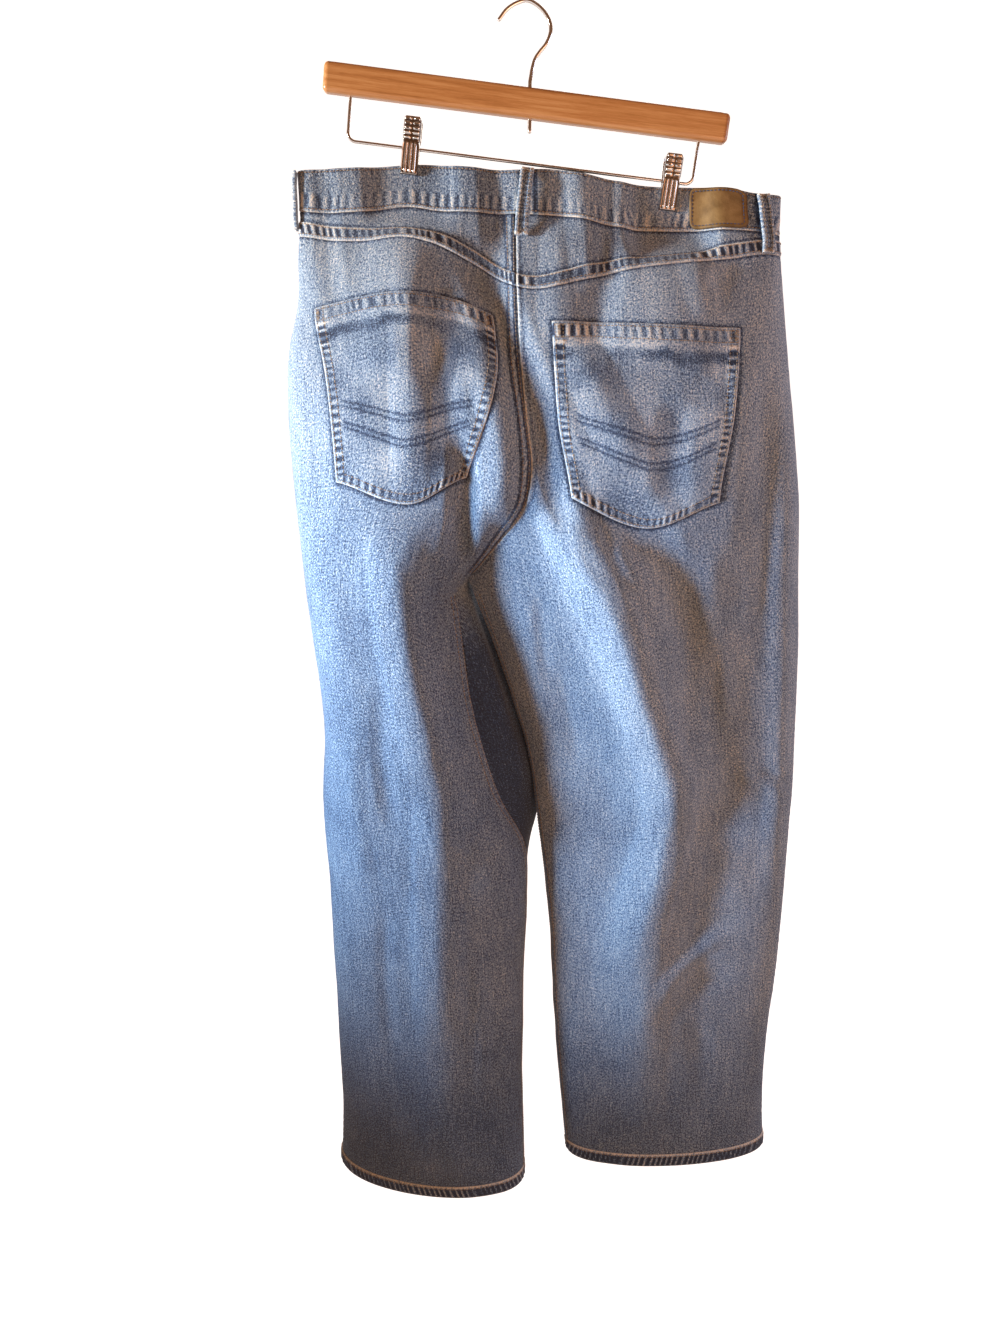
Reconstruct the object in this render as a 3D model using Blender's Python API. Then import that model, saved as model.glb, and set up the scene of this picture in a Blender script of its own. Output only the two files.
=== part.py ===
"""Straight leg jeans hanging by two sprung clips from a wooden trouser hanger.

Metres, +Z up. The origin is the inner crest of the hook, where a nail or a rail carries it. The back of the
jeans faces -Y and +X is the wearer's right, so a person who looks along +Y sees the back pockets.

The cloth is one surface, cloth(side, around, height). At each height a side is a line that leaves the inner
edge of the back (around 0), runs over the back to the outer seam (around 1) and returns over the front to the
inner edge of the front (around 2). Above the crotch the inner edges of both sides meet on the centre back and
the centre front seams, and below it each side closes on its own inside leg seam, so the same line is first
half a hip and then a leg. Every cloth piece is a grid of points of this surface and the same points moved in
by the wall.
"""

import math
from collections import namedtuple

import bmesh
import bpy
import numpy as np
from mathutils import Vector

GAP = 0.0003
SLOPE_LIMIT = 1.6
CLOTH_WALL = 0.0018
BAND_WALL = 0.0030
BAND_PROUD = 0.0005
POCKET_WALL = 0.0015
HEM_WALL = 0.0030
HEM_PROUD = 0.0006
HEM_HEIGHT = 0.0145
MOUTH_DEPTH = 0.0800  # the front pocket's mouth: how far down the outer seam it runs
MOUTH_SHARE = 0.42  # and how far along the waistband, as a share of a front
MOUTH_ROUNDNESS = 0.8
FACING_SUNK = 0.0032
FACING_CLEAR = 0.0010
FACING_START = 0.0045
FACING_PAST = 0.0150
FACING_UNDER = 0.06  # how far it runs on under the front, as a share of a front
FACING_COLUMNS = 7
LOOP_WIDTH = 0.0120
LOOP_WALL = 0.0022
LOOP_SEWN_LIFT = 0.0013
LOOP_FLATNESS = 1.6  # above 1 the middle of the loop runs straight
LOOP_ROWS = 8
PATCH_WALL = 0.0016
PLACKET_WIDTH = 0.0350
PLACKET_WALL = 0.0012
PLACKET_TAPER = 0.9  # how much of its width the placket loses at its foot
ZIP_WIDTH = 0.0240
ZIP_WALL = 0.0015
ZIP_SUNK = 0.0050
ZIP_ROWS = 5
BUTTON_RADIUS = 0.0085
BUTTON_RISE = 0.0032
# The button's outline from the middle of its back round to the middle of its dished face, in shares of the
# radius and of the rise.
BUTTON_OUTLINE = (
    (0, 0), (0.55, 0), (0.55, 0.45), (1, 0.55), (1, 0.8), (0.88, 1), (0.72, 1), (0.6, 0.82), (0, 0.82),
)

HANGER_TILT = math.radians(8.5)
BAR_LENGTH = 0.3545
BAR_THICK = 0.0130
BAR_HEIGHT = 0.0245
BAR_ROUNDING = 0.0045
BAR_X = 0.0088
BAR_Z = -0.0768
HOOK_WIRE = 0.0035
SHANK_TOP = (0.0090, -0.0600)  # x, z: the shank leans in the hanger's frame, so that it hangs plumb
SHANK_END = (0.0134, -0.0985)
CLIP_WIRE = 0.0028
CLIP_WIRE_Z = -0.1243
CLIP_WIRE_HALF = 0.1530
CLIP_WIRE_CORNER = 0.0070
CLIP_WIRE_DEEP = 0.0100
DRILL_PAST = 0.0050
CLIPS = {"left": (-0.0880, -0.1464), "right": (0.1422, -0.1490)}  # x and foot in the hanger's own frame
JAW_HEIGHT = 0.0460
JAW_WIDTH = 0.0155
JAW_WALL = 0.0026
JAW_RELIEF = 0.0008
JAW_FOOT = 0.0046
JAW_TOP = 0.0078
JAW_BOW = 1.4
JAW_EDGE_DROP = 0.0012
JAW_FLUTES = 4
JAW_PADS_FROM = 0.6
JAW_PAD_PITCH = 0.1
# The hook from its tip over the crest to the shank: x, z in the hanger's own frame.
HOOK_LINE = (
    (-0.0228, -0.0152), (-0.0172, -0.0070), (-0.0090, -0.0010), (0.0000, 0.00175), (0.0100, -0.0018),
    (0.0183, -0.0090), (0.0219, -0.0180), (0.0198, -0.0280), (0.0145, -0.0360), (0.0112, -0.0420),
    (0.0096, -0.0500),
)

LEFT, RIGHT = -1, 1
SIDE_NAMES = {LEFT: "left", RIGHT: "right"}
CROTCH = -0.487
DRIFT_REACH = 0.045  # half the height over which the crotch's turn is spread through the cloth
DRIFT_WEIGHTS = (1, 2, 3, 4, 3, 2, 1)  # and how the heights in it count
DRIFT_FULL = 0.3  # the share of the way to the outer seam after which only the spread turn counts
CROTCH_CALM = 0.050  # folds die out over this height above the crotch, beside the seams
SEAM_HOLD = 6  # the power that keeps folds off a seam: higher lets them come closer to it
HEM_EDGE = {LEFT: -1.1535, RIGHT: -1.1385}

# Seam lines: height, x, y.
CENTRE_BACK = (
    (-0.110, -0.013, -0.011),
    (-0.170, -0.016, -0.015),
    (-0.200, -0.017, -0.030),
    (-0.235, -0.018, -0.049),
    (-0.290, -0.017, -0.067),
    (-0.340, -0.014, -0.076),
    (-0.390, -0.011, -0.075),
    (-0.418, -0.017, -0.069),
    (-0.436, -0.028, -0.061),
    (-0.452, -0.041, -0.051),
    (-0.487, -0.071, -0.030),
)
CENTRE_FRONT = (
    (-0.110, 0.004, 0.011),
    (-0.170, 0.004, 0.014),
    (-0.235, 0.003, 0.040),
    (-0.300, 0.000, 0.058),
    (-0.370, -0.008, 0.064),
    (-0.420, -0.024, 0.056),
    (-0.455, -0.045, 0.036),
    (-0.478, -0.064, 0.000),
    (-0.487, -0.071, -0.030),
)
INSIDE_LEG = {
    LEFT: (
        (-0.487, -0.071, -0.030),
        (-0.498, -0.082, -0.034),
        (-0.515, -0.081, -0.037),
        (-0.550, -0.077, -0.040),
        (-0.604, -0.072, -0.040),
        (-0.655, -0.062, -0.036),
        (-0.711, -0.046, -0.026),
        (-0.760, -0.026, -0.010),
        (-0.830, -0.024, -0.002),
        (-0.922, -0.030, -0.002),
        (-1.014, -0.034, -0.010),
        (-1.155, -0.036, -0.020),
    ),
    RIGHT: (
        (-0.487, -0.071, -0.030),
        (-0.543, -0.052, -0.018),
        (-0.610, -0.033, -0.008),
        (-0.679, -0.017, 0.000),
        (-0.735, -0.011, 0.000),
        (-0.835, -0.002, 0.000),
        (-0.954, 0.0015, 0.000),
        (-1.140, 0.012, 0.000),
    ),
}
OUTER_SEAM = {
    LEFT: (
        (-0.110, -0.206, 0.000),
        (-0.165, -0.208, 0.000),
        (-0.200, -0.212, 0.000),
        (-0.231, -0.215, 0.000),
        (-0.274, -0.226, 0.000),
        (-0.318, -0.230, 0.000),
        (-0.400, -0.2305, 0.000),
        (-0.482, -0.2275, 0.000),
        (-0.634, -0.2215, 0.000),
        (-0.714, -0.2285, 0.000),
        (-0.800, -0.2295, 0.002),
        (-0.914, -0.2315, 0.006),
        (-1.007, -0.2350, 0.011),
        (-1.069, -0.2365, 0.014),
        (-1.155, -0.2440, 0.018),
    ),
    RIGHT: (
        (-0.110, 0.221, 0.000),
        (-0.203, 0.221, 0.000),
        (-0.246, 0.225, 0.000),
        (-0.334, 0.2335, 0.000),
        (-0.385, 0.2390, 0.000),
        (-0.427, 0.2445, 0.000),
        (-0.524, 0.2500, 0.000),
        (-0.651, 0.2520, 0.000),
        (-0.760, 0.2490, 0.000),
        (-0.874, 0.2440, 0.000),
        (-0.933, 0.2400, 0.000),
        (-0.993, 0.2345, 0.000),
        (-1.056, 0.2310, 0.000),
        (-1.140, 0.2330, 0.000),
    ),
}
# Where the two thighs press on each other: height, x.
LEGS_MEET = (
    (-0.487, -0.0712), (-0.543, -0.0530), (-0.610, -0.0342), (-0.679, -0.0180), (-0.735, -0.0120),
    (-1.150, -0.0120),
)
LEGS_MEET_LEAN = 0.5  # how far that line moves sideways with y
LEGS_MEET_DEPTH = (-0.010, 0.045)  # and between which y it does
LEGS_MEET_SOFT = 0.002

# How a side's line bends at each height. A lean is the angle at which the line leaves its inner edge: 0 is
# straight out of the back or the front, 90 is sideways. A reach is how far the line holds that direction.
Section = namedtuple("Section", "height back_lean back_in back_out front_lean front_in front_out")
SECTIONS = {
    LEFT: (
        Section(-0.110, 90, 0.070, 0.010, 90, 0.070, 0.010),
        Section(-0.165, 90, 0.070, 0.015, 90, 0.070, 0.014),
        Section(-0.205, 90, 0.080, 0.036, 90, 0.080, 0.034),
        Section(-0.260, 88, 0.090, 0.062, 90, 0.090, 0.058),
        Section(-0.330, 84, 0.090, 0.082, 86, 0.090, 0.076),
        Section(-0.400, 72, 0.080, 0.092, 70, 0.080, 0.086),
        Section(-0.440, 55, 0.070, 0.096, 45, 0.075, 0.094),
        Section(-0.487, 40, 0.062, 0.098, -30, 0.096, 0.100),
        Section(-0.550, 40, 0.056, 0.094, -56, 0.165, 0.098),
        Section(-0.640, 45, 0.055, 0.086, -60, 0.200, 0.090),
        Section(-0.700, 38, 0.060, 0.083, -59, 0.196, 0.086),
        Section(-0.745, 15, 0.070, 0.080, -46, 0.150, 0.083),
        Section(-0.790, 6, 0.070, 0.078, -15, 0.085, 0.080),
        Section(-0.860, 0, 0.070, 0.076, 0, 0.076, 0.078),
        Section(-1.000, 0, 0.068, 0.070, 0, 0.070, 0.070),
        Section(-1.155, 0, 0.068, 0.068, 0, 0.068, 0.068),
    ),
    RIGHT: (
        Section(-0.110, 90, 0.080, 0.010, 90, 0.080, 0.010),
        Section(-0.165, 90, 0.080, 0.015, 90, 0.080, 0.014),
        Section(-0.205, 90, 0.090, 0.036, 90, 0.090, 0.034),
        Section(-0.260, 90, 0.100, 0.062, 90, 0.100, 0.058),
        Section(-0.330, 88, 0.110, 0.080, 88, 0.100, 0.074),
        Section(-0.400, 78, 0.110, 0.082, 76, 0.100, 0.074),
        Section(-0.440, 66, 0.105, 0.074, 60, 0.095, 0.066),
        Section(-0.487, 45, 0.095, 0.064, 10, 0.090, 0.058),
        Section(-0.550, 25, 0.075, 0.054, -10, 0.080, 0.052),
        Section(-0.640, 10, 0.056, 0.046, -8, 0.060, 0.046),
        Section(-0.740, 5, 0.044, 0.040, -5, 0.046, 0.040),
        Section(-0.860, 0, 0.038, 0.036, 0, 0.038, 0.036),
        Section(-1.000, 0, 0.042, 0.040, 0, 0.042, 0.040),
        Section(-1.140, 0, 0.050, 0.048, 0, 0.050, 0.048),
    ),
}

# Edges that run across the cloth, level by level: x, height.
BAND_TOP = (
    (-0.210, -0.1243), (-0.150, -0.1250), (-0.094, -0.1237), (-0.059, -0.1278), (-0.014, -0.1319),
    (0.010, -0.1322), (0.041, -0.1367), (0.076, -0.1438), (0.106, -0.1478), (0.130, -0.1492),
    (0.156, -0.1508), (0.174, -0.1522), (0.192, -0.1562), (0.222, -0.1586),
)
BAND_LOW = (
    (-0.210, -0.1579), (-0.174, -0.1613), (-0.148, -0.1612), (-0.107, -0.1584), (-0.086, -0.1624),
    (-0.043, -0.1665), (0.001, -0.1696), (0.040, -0.1751), (0.071, -0.1825), (0.112, -0.1852),
    (0.165, -0.1875), (0.201, -0.1902), (0.222, -0.1925),
)
FRONT_BAND_LOW = ((-0.222, -0.1572), (-0.210, -0.1579), (0.004, -0.1690), (0.120, -0.1810), (0.222, -0.1925))
YOKE_SEAM = (
    (-0.210, -0.1787), (-0.170, -0.1862), (-0.148, -0.1876), (-0.113, -0.1868), (-0.087, -0.1938),
    (-0.055, -0.2105), (-0.018, -0.2325), (0.045, -0.2281), (0.080, -0.2214), (0.117, -0.2176),
    (0.170, -0.2136), (0.206, -0.2095), (0.222, -0.2100),
)
# Both sides give the same height at the centre seam, so that their rows of points meet there.
POCKET_TOP = {
    LEFT: (
        (-0.235, -0.248), (-0.186, -0.243), (-0.149, -0.237), (-0.108, -0.236), (-0.070, -0.243),
        (-0.041, -0.256), (-0.020, -0.263),
    ),
    RIGHT: ((-0.016, -0.263), (0.011, -0.264), (0.091, -0.269), (0.171, -0.274), (0.235, -0.274)),
}
POCKET_BOTTOM = {
    LEFT: ((-0.235, -0.386), (-0.181, -0.392), (-0.115, -0.412), (-0.066, -0.392), (-0.030, -0.398)),
    RIGHT: ((0.000, -0.398), (0.022, -0.411), (0.090, -0.441), (0.154, -0.421), (0.245, -0.412)),
}
# The two long edges of each back pocket, and the lines that carry on from them: height, inner x, outer x.
POCKET_EDGES = {
    LEFT: (
        (-0.180, -0.044, -0.182), (-0.245, -0.041, -0.194), (-0.300, -0.037, -0.186),
        (-0.390, -0.066, -0.181), (-0.487, -0.110, -0.185), (-0.640, -0.098, -0.176),
        (-0.860, -0.080, -0.180), (-1.150, -0.088, -0.190),
    ),
    RIGHT: (
        (-0.180, 0.012, 0.172), (-0.266, 0.011, 0.1745), (-0.346, 0.014, 0.167),
        (-0.421, 0.024, 0.154), (-0.487, 0.020, 0.160), (-0.640, 0.050, 0.180),
        (-0.860, 0.070, 0.176), (-1.150, 0.070, 0.170),
    ),
}

# Folds: a soft hill (or a trough, below zero) along a line of x, height points.
Fold = namedtuple("Fold", "sides face reach rise points")
FOLDS = (
    # The deep trough from the waistband across the seat, the hill and the crescent under it.
    Fold((LEFT, RIGHT), "back", 0.026, -0.0090, ((-0.062, -0.180), (-0.029, -0.271), (0.016, -0.400))),
    Fold((LEFT, RIGHT), "back", 0.028, 0.0050, ((-0.035, -0.302), (-0.034, -0.378), (-0.040, -0.440))),
    Fold((LEFT,), "back", 0.018, -0.0110, ((-0.068, -0.345), (-0.071, -0.421), (-0.080, -0.482))),
    # From the left clip, and down the left leg.
    Fold((LEFT,), "back", 0.050, 0.0090, ((-0.106, -0.151), (-0.120, -0.241), (-0.128, -0.324))),
    Fold(
        (LEFT,), "back", 0.060, 0.0140,
        ((-0.130, -0.400), (-0.121, -0.499), (-0.112, -0.600), (-0.102, -0.691), (-0.112, -0.795)),
    ),
    Fold(
        (LEFT,), "back", 0.060, 0.0110,
        ((-0.110, -0.740), (-0.115, -0.904), (-0.122, -1.060), (-0.125, -1.150)),
    ),
    # From the right clip, and down the right leg.
    Fold((RIGHT,), "back", 0.060, 0.0060, ((0.115, -0.181), (0.109, -0.248), (0.101, -0.314))),
    Fold(
        (RIGHT,), "back", 0.070, 0.0220,
        ((0.010, -0.400), (0.064, -0.507), (0.091, -0.603), (0.117, -0.693), (0.125, -0.760)),
    ),
    Fold(
        (RIGHT,), "back", 0.065, 0.0160,
        ((0.122, -0.700), (0.122, -0.787), (0.103, -0.850), (0.097, -0.940), (0.092, -1.100)),
    ),
    Fold((RIGHT,), "back", 0.022, -0.0060, ((0.186, -0.300), (0.184, -0.477), (0.196, -0.693))),
    Fold((RIGHT,), "back", 0.012, -0.0040, ((0.212, -0.687), (0.228, -0.700), (0.246, -0.708))),
    Fold((RIGHT,), "back", 0.018, 0.0040, ((0.105, -0.935), (0.141, -0.893), (0.180, -0.864))),
    # The fronts: beside the fly, from the clips, and down the legs.
    Fold((LEFT, RIGHT), "front", 0.030, -0.0080, ((-0.060, -0.200), (-0.040, -0.300), (-0.030, -0.420))),
    Fold((RIGHT,), "front", 0.060, 0.0100, ((0.110, -0.170), (0.100, -0.300), (0.090, -0.420))),
    Fold((LEFT,), "front", 0.055, 0.0090, ((-0.105, -0.160), (-0.120, -0.280), (-0.125, -0.400))),
    Fold(
        (RIGHT,), "front", 0.060, 0.0140,
        ((0.080, -0.480), (0.100, -0.650), (0.110, -0.850), (0.110, -1.100)),
    ),
    Fold(
        (LEFT,), "front", 0.055, 0.0100,
        ((-0.130, -0.450), (-0.125, -0.650), (-0.120, -0.850), (-0.125, -1.120)),
    ),
)
# The clips press the two walls of the waist together: x of each clip and height of its foot.
CLIPS_AT_WAIST = ((-0.1085, -0.137), (0.1195, -0.173))
PINCHED_HALF = 0.0033
PINCH_REACH = 0.038
PINCH_FADE = 0.055

# Belt loops: side, face, x at the top and at the foot, height of the top and of the foot.
Loop = namedtuple("Loop", "side face top_x foot_x top foot stand_off")
BELT_LOOPS = {
    "centre_back": Loop(RIGHT, "back", -0.0045, -0.0120, -0.1312, -0.1890, 0.0040),
    "left_side": Loop(LEFT, "back", -0.2600, -0.2600, -0.1250, -0.1730, 0.0012),
    "right_side": Loop(RIGHT, "back", 0.2025, 0.2045, -0.1585, -0.2095, 0.0030),
    "left_front": Loop(LEFT, "front", -0.0580, -0.0580, -0.1290, -0.1790, 0.0030),
    "right_front": Loop(RIGHT, "front", 0.0620, 0.0620, -0.1420, -0.1920, 0.0030),
}
# The row of a front that passes the foot of the pocket's mouth: x, height.
MOUTH_LEVEL = {
    LEFT: ((-0.235, -0.2380), (-0.195, -0.2380), (-0.100, -0.2470), (0.004, -0.2600)),
    RIGHT: ((0.004, -0.2600), (0.100, -0.2680), (0.205, -0.2725), (0.235, -0.2725)),
}
PATCH_X = (0.1385, 0.1880)
BAND_ROWS = 3
PATCH_ROWS = (0.06, 2.96)  # of the waistband's three
PLACKET_ROWS = (0.1, 7.0)  # of the front's rows
PLACKET_INSET = 0.02  # of the front's last column
ZIP_HEIGHTS = (-0.178, -0.300)
BUTTON_FROM_END = 0.0130

BACK_COLUMNS = (5, 8, 5)  # up to the pocket, across it and past it
BACK_ROWS = (2, 9, 5, 1, 16)  # up to the pocket, down it, to the crotch, past it and down the leg
YOKE_ROWS = 4
FACING_ROWS = 4
HEM_ROWS = 2
FRONT_COLUMNS = 12
FRONT_CROWDING = 1.3  # above 1 the columns crowd towards the outer seam
FRONT_ROWS = (5, 8, 1, 16)  # down the pocket mouth, to the crotch, past it and down the leg
PAST_CROTCH = -0.498

MATERIALS = {}


def through(knots, values, at):
    """A smooth curve through the values: cubic between knots, with slopes read from the neighbours."""
    knots, values = np.asarray(knots, float), np.asarray(values, float)
    if knots[0] > knots[-1]:
        knots, values = knots[::-1], values[::-1]
    slopes = np.gradient(values, knots)
    low = np.clip(np.searchsorted(knots, at) - 1, 0, len(knots) - 2)
    step = knots[low + 1] - knots[low]
    p = np.clip((at - knots[low]) / step, 0, 1)
    from_low = (1 + 2 * p) * (1 - p) ** 2 * values[low] + p * (1 - p) ** 2 * step * slopes[low]
    from_high = p * p * (3 - 2 * p) * values[low + 1] - p * p * (1 - p) * step * slopes[low + 1]
    return from_low + from_high


def line_at(line, height):
    """x and y of a seam line at a height."""
    heights, xs, ys = zip(*line)
    return through(heights, xs, height), through(heights, ys, height)


def across(line, x):
    """Height of an edge that runs across the cloth, at x."""
    xs, heights = zip(*line)
    return through(xs, heights, x)


def soft_step(p):
    p = np.clip(p, 0, 1)
    return p * p * (3 - 2 * p)


def unit(vectors):
    return vectors / np.linalg.norm(vectors, axis=-1, keepdims=True)


def fold_rise(fold, x, height):
    """How far a fold lifts the cloth: a cosine hill across its line, faded over a quarter at each end."""
    knots = np.arange(len(fold.points))
    along = np.linspace(0, knots[-1], 6 * len(knots))
    line_x, line_z = (through(knots, [p[k] for p in fold.points], along) for k in (0, 1))
    best = np.full(np.shape(x), np.inf)
    share = np.zeros(np.shape(x))
    last = len(along) - 1
    for i in range(last):
        dx, dz = line_x[i + 1] - line_x[i], line_z[i + 1] - line_z[i]
        p = np.clip(((x - line_x[i]) * dx + (height - line_z[i]) * dz) / (dx * dx + dz * dz), 0, 1)
        away = np.hypot(x - line_x[i] - p * dx, height - line_z[i] - p * dz)
        share = np.where(away < best, (i + p) / last, share)
        best = np.minimum(best, away)
    hill = (1 + np.cos(math.pi * np.clip(best / fold.reach, 0, 1))) / 2
    return fold.rise * hill * soft_step(share / 0.25) * soft_step((1 - share) / 0.25)


def inner_edge(side, face, height):
    """x and y of the inner edge of a side: a centre seam above the crotch, the inside leg seam below it."""
    above = line_at(CENTRE_BACK if face == "back" else CENTRE_FRONT, height)
    below = line_at(INSIDE_LEG[side], height)
    over = height >= CROTCH
    return np.where(over, above[0], below[0]) + side * GAP / 2, np.where(over, above[1], below[1])


def inner_drift(side, face, height):
    """The inner edge averaged over some height, so that the turn at the crotch stays beside the seam."""
    steps = np.linspace(-DRIFT_REACH, DRIFT_REACH, len(DRIFT_WEIGHTS))
    near = [inner_edge(side, face, height + step) for step in steps]
    return tuple(np.average([edge[k] for edge in near], axis=0, weights=DRIFT_WEIGHTS) for k in (0, 1))


def arc(side, face, u, height):
    """x and y on one face, for u from 0 at the inner edge to 1 at the outer seam: a cubic Bezier curve."""
    out = -1 if face == "back" else 1
    rows = SECTIONS[side]
    heights = [row.height for row in rows]
    lean = np.radians(through(heights, [getattr(row, face + "_lean") for row in rows], height))
    reach_in = through(heights, [getattr(row, face + "_in") for row in rows], height)
    reach_out = through(heights, [getattr(row, face + "_out") for row in rows], height)
    x0, y0 = inner_edge(side, face, height)
    x3, y3 = line_at(OUTER_SEAM[side], height)
    drift_x, drift_y = inner_drift(side, face, height)
    drifted = soft_step(u / DRIFT_FULL)
    x0, y0 = x0 + (drift_x - x0) * drifted, y0 + (drift_y - y0) * drifted
    x1, y1 = drift_x + side * reach_in * np.sin(lean), drift_y + out * reach_in * np.cos(lean)
    x2, y2 = x3, y3 + out * reach_out
    a, b, c, d = (1 - u) ** 3, 3 * u * (1 - u) ** 2, 3 * u * u * (1 - u), u**3
    x = a * x0 + b * x1 + c * x2 + d * x3
    y = a * y0 + b * y1 + c * y2 + d * y3
    fade = 1 - u**SEAM_HOLD
    fade = fade * (1 - (1 - u) ** SEAM_HOLD * soft_step((CROTCH + CROTCH_CALM - height) / CROTCH_CALM))
    for fold in FOLDS:
        if side in fold.sides and fold.face == face:
            y = y + out * fade * fold_rise(fold, x, height)
    return x, y


def pressed(side, x, y, height):
    """Keeps a thigh on its own side of the line where the legs meet, flattened over a few millimetres."""
    heights, xs = zip(*LEGS_MEET)
    grown = soft_step((CROTCH - height) / CROTCH_CALM)
    meet = through(heights, xs, height) + LEGS_MEET_LEAN * grown * np.clip(y, *LEGS_MEET_DEPTH)
    soft = np.clip(0.06 * (CROTCH - height), 0.0001, LEGS_MEET_SOFT)
    room = side * (x - meet) / soft
    flat = meet + side * (soft * np.logaddexp(0, room) + GAP / 2)
    return np.where((height < CROTCH) & (room < 30), flat, x)


def pinched(y, x, height, out):
    """Draws a face in to a flat place where a clip holds the waistband."""
    for clip_x, foot in CLIPS_AT_WAIST:
        beside = np.exp(-(((x - clip_x) / PINCH_REACH) ** 6))
        hold = beside * soft_step(1 - (foot - height) / PINCH_FADE)
        y = y + (out * PINCHED_HALF - y) * hold
    return y


def cloth(side, around, height):
    """Points of the cloth's outer face. The module's docstring says what around and height are."""
    around, height = np.broadcast_arrays(np.asarray(around, float), np.asarray(height, float))
    back = arc(side, "back", np.clip(around, 0, 1), height)
    front = arc(side, "front", np.clip(2 - around, 0, 1), height)
    x = np.where(around <= 1, back[0], front[0])
    y = np.where(around <= 1, back[1], front[1])
    y = pinched(y, x, height, np.where(around <= 1, -1, 1))
    return np.stack([pressed(side, x, y, height), y, height], axis=-1)


def face_normal(side, around, height):
    """Unit normals of the outer face, from the steps to neighbouring points of the same face."""
    step, drop = 0.002, 0.0005
    face = np.where(around <= 1, 0.0, 1.0)
    low, high = np.maximum(around - step, face), np.minimum(around + step, face + 1)
    along = cloth(side, high, height) - cloth(side, low, height)
    over = np.where(height >= CROTCH, CROTCH, -9.0)
    down = cloth(side, around, height + drop) - cloth(side, around, np.maximum(height - drop, over))
    return unit(side * np.cross(along, down))


def outward(side, around, height):
    """The level way out of the cloth, longer where the cloth slopes, so that a wall keeps its thickness.

    Two walls that meet on the inside leg seam share one direction there.
    """
    around, height = np.broadcast_arrays(np.asarray(around, float), np.asarray(height, float))
    own = face_normal(side, around, height)
    shared = unit(sum(face_normal(side, np.full(around.shape, end), height) for end in (0.0, 2.0)))
    at_seam = (np.abs(around - 1) > 0.99) & (height < CROTCH + 1e-6)
    normal = np.where(at_seam[..., None], shared, own)
    level_part = np.linalg.norm(normal[..., :2], axis=-1, keepdims=True)
    longer = np.minimum(1 / np.maximum(level_part, 1e-6), SLOPE_LIMIT)
    return np.concatenate([normal[..., :2] / np.maximum(level_part, 1e-6) * longer, 0 * level_part], axis=-1)


def moved(side, around, height, metres):
    """The around value that lies some metres along the line from another one."""
    step = 0.002 * np.sign(metres)
    stretch = np.linalg.norm(cloth(side, around + step, height) - cloth(side, around, height), axis=-1)
    return around + metres / (stretch / abs(step))


def around_at_x(side, x, height, face="back"):
    """The around value on one face that has this x, by halving."""
    low = np.full(np.shape(x), 0.0 if face == "back" else 2.0)
    high = np.full(np.shape(x), 1.0 if face == "back" else 1 + 1e-6)
    for _ in range(22):
        middle = (low + high) / 2
        short = side * (cloth(side, middle, height)[..., 0] - x) < 0
        low, high = np.where(short, middle, low), np.where(short, high, middle)
    return (low + high) / 2


def blocks(stops, counts):
    """Values spaced evenly inside each block between the stops; the stops may be arrays."""
    parts = [stops[0][None]]
    for low, high, count in zip(stops, stops[1:], counts):
        share = np.arange(1, count + 1).reshape((-1,) + (1,) * np.ndim(low)) / count
        parts.append(low + (high - low) * share)
    return np.concatenate(parts)


def material(name, colour, roughness, metallic=0.0):
    if name not in MATERIALS:
        made = bpy.data.materials.new(name)
        made.use_nodes = True
        shader = made.node_tree.nodes["Principled BSDF"]
        shader.inputs["Base Color"].default_value = (*colour, 1.0)
        shader.inputs["Roughness"].default_value = roughness
        shader.inputs["Metallic"].default_value = metallic
        made.diffuse_color = (*colour, 1.0)
        MATERIALS[name] = made
    return MATERIALS[name]


def denim():
    return material("denim", (0.16, 0.25, 0.38), 0.9)


def denim_doubled():
    return material("denim_doubled", (0.19, 0.28, 0.41), 0.9)


def wood():
    return material("wood", (0.50, 0.24, 0.09), 0.45)


def chrome():
    return material("chrome", (0.75, 0.74, 0.73), 0.15, 1.0)


def leather():
    return material("leather", (0.32, 0.17, 0.07), 0.6)


def brass():
    return material("aged_brass", (0.45, 0.33, 0.20), 0.35, 1.0)


def place(name, mesh, finish):
    node = bpy.data.objects.new(name, mesh)
    mesh.materials.append(finish)
    bpy.context.scene.collection.objects.link(node)
    return node


def wall(name, outer, inner, finish, ring=False):
    """A closed wall between two grids of points. A ring's last column joins its first."""
    rows, columns = outer.shape[:2]
    number = np.arange(rows * columns).reshape(rows, columns)
    if ring:
        number = np.concatenate([number, number[:, :1]], axis=1)
    far = number + rows * columns

    def quads(grid, turn):
        corners = np.stack([grid[:-1, :-1], grid[1:, :-1], grid[1:, 1:], grid[:-1, 1:]], axis=-1)
        return corners.reshape(-1, 4)[:, turn]

    def rim(edge, far_edge, turn):
        return np.stack([edge[:-1], edge[1:], far_edge[1:], far_edge[:-1]], axis=-1)[:, turn]

    # Both turns split along the same diagonal, so that the two sides of a wall, and two pieces at a seam,
    # stay parallel.
    one_way, other_way = [0, 1, 2, 3], [0, 3, 2, 1]
    faces = [
        quads(number, one_way),
        quads(far, other_way),
        rim(number[0], far[0], one_way),
        rim(number[-1], far[-1], other_way),
    ]
    if not ring:
        faces += [rim(number[:, 0], far[:, 0], other_way), rim(number[:, -1], far[:, -1], one_way)]
    mesh = bpy.data.meshes.new(name)
    points = np.concatenate([outer.reshape(-1, 3), inner.reshape(-1, 3)])
    mesh.from_pydata(points.tolist(), [], np.concatenate(faces).tolist())
    shape = bmesh.new()
    shape.from_mesh(mesh)
    bmesh.ops.recalc_face_normals(shape, faces=shape.faces)
    shape.to_mesh(mesh)
    shape.free()
    mesh.shade_smooth()
    mesh.set_sharp_from_angle(angle=math.radians(50))
    return place(name, mesh, finish)


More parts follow.
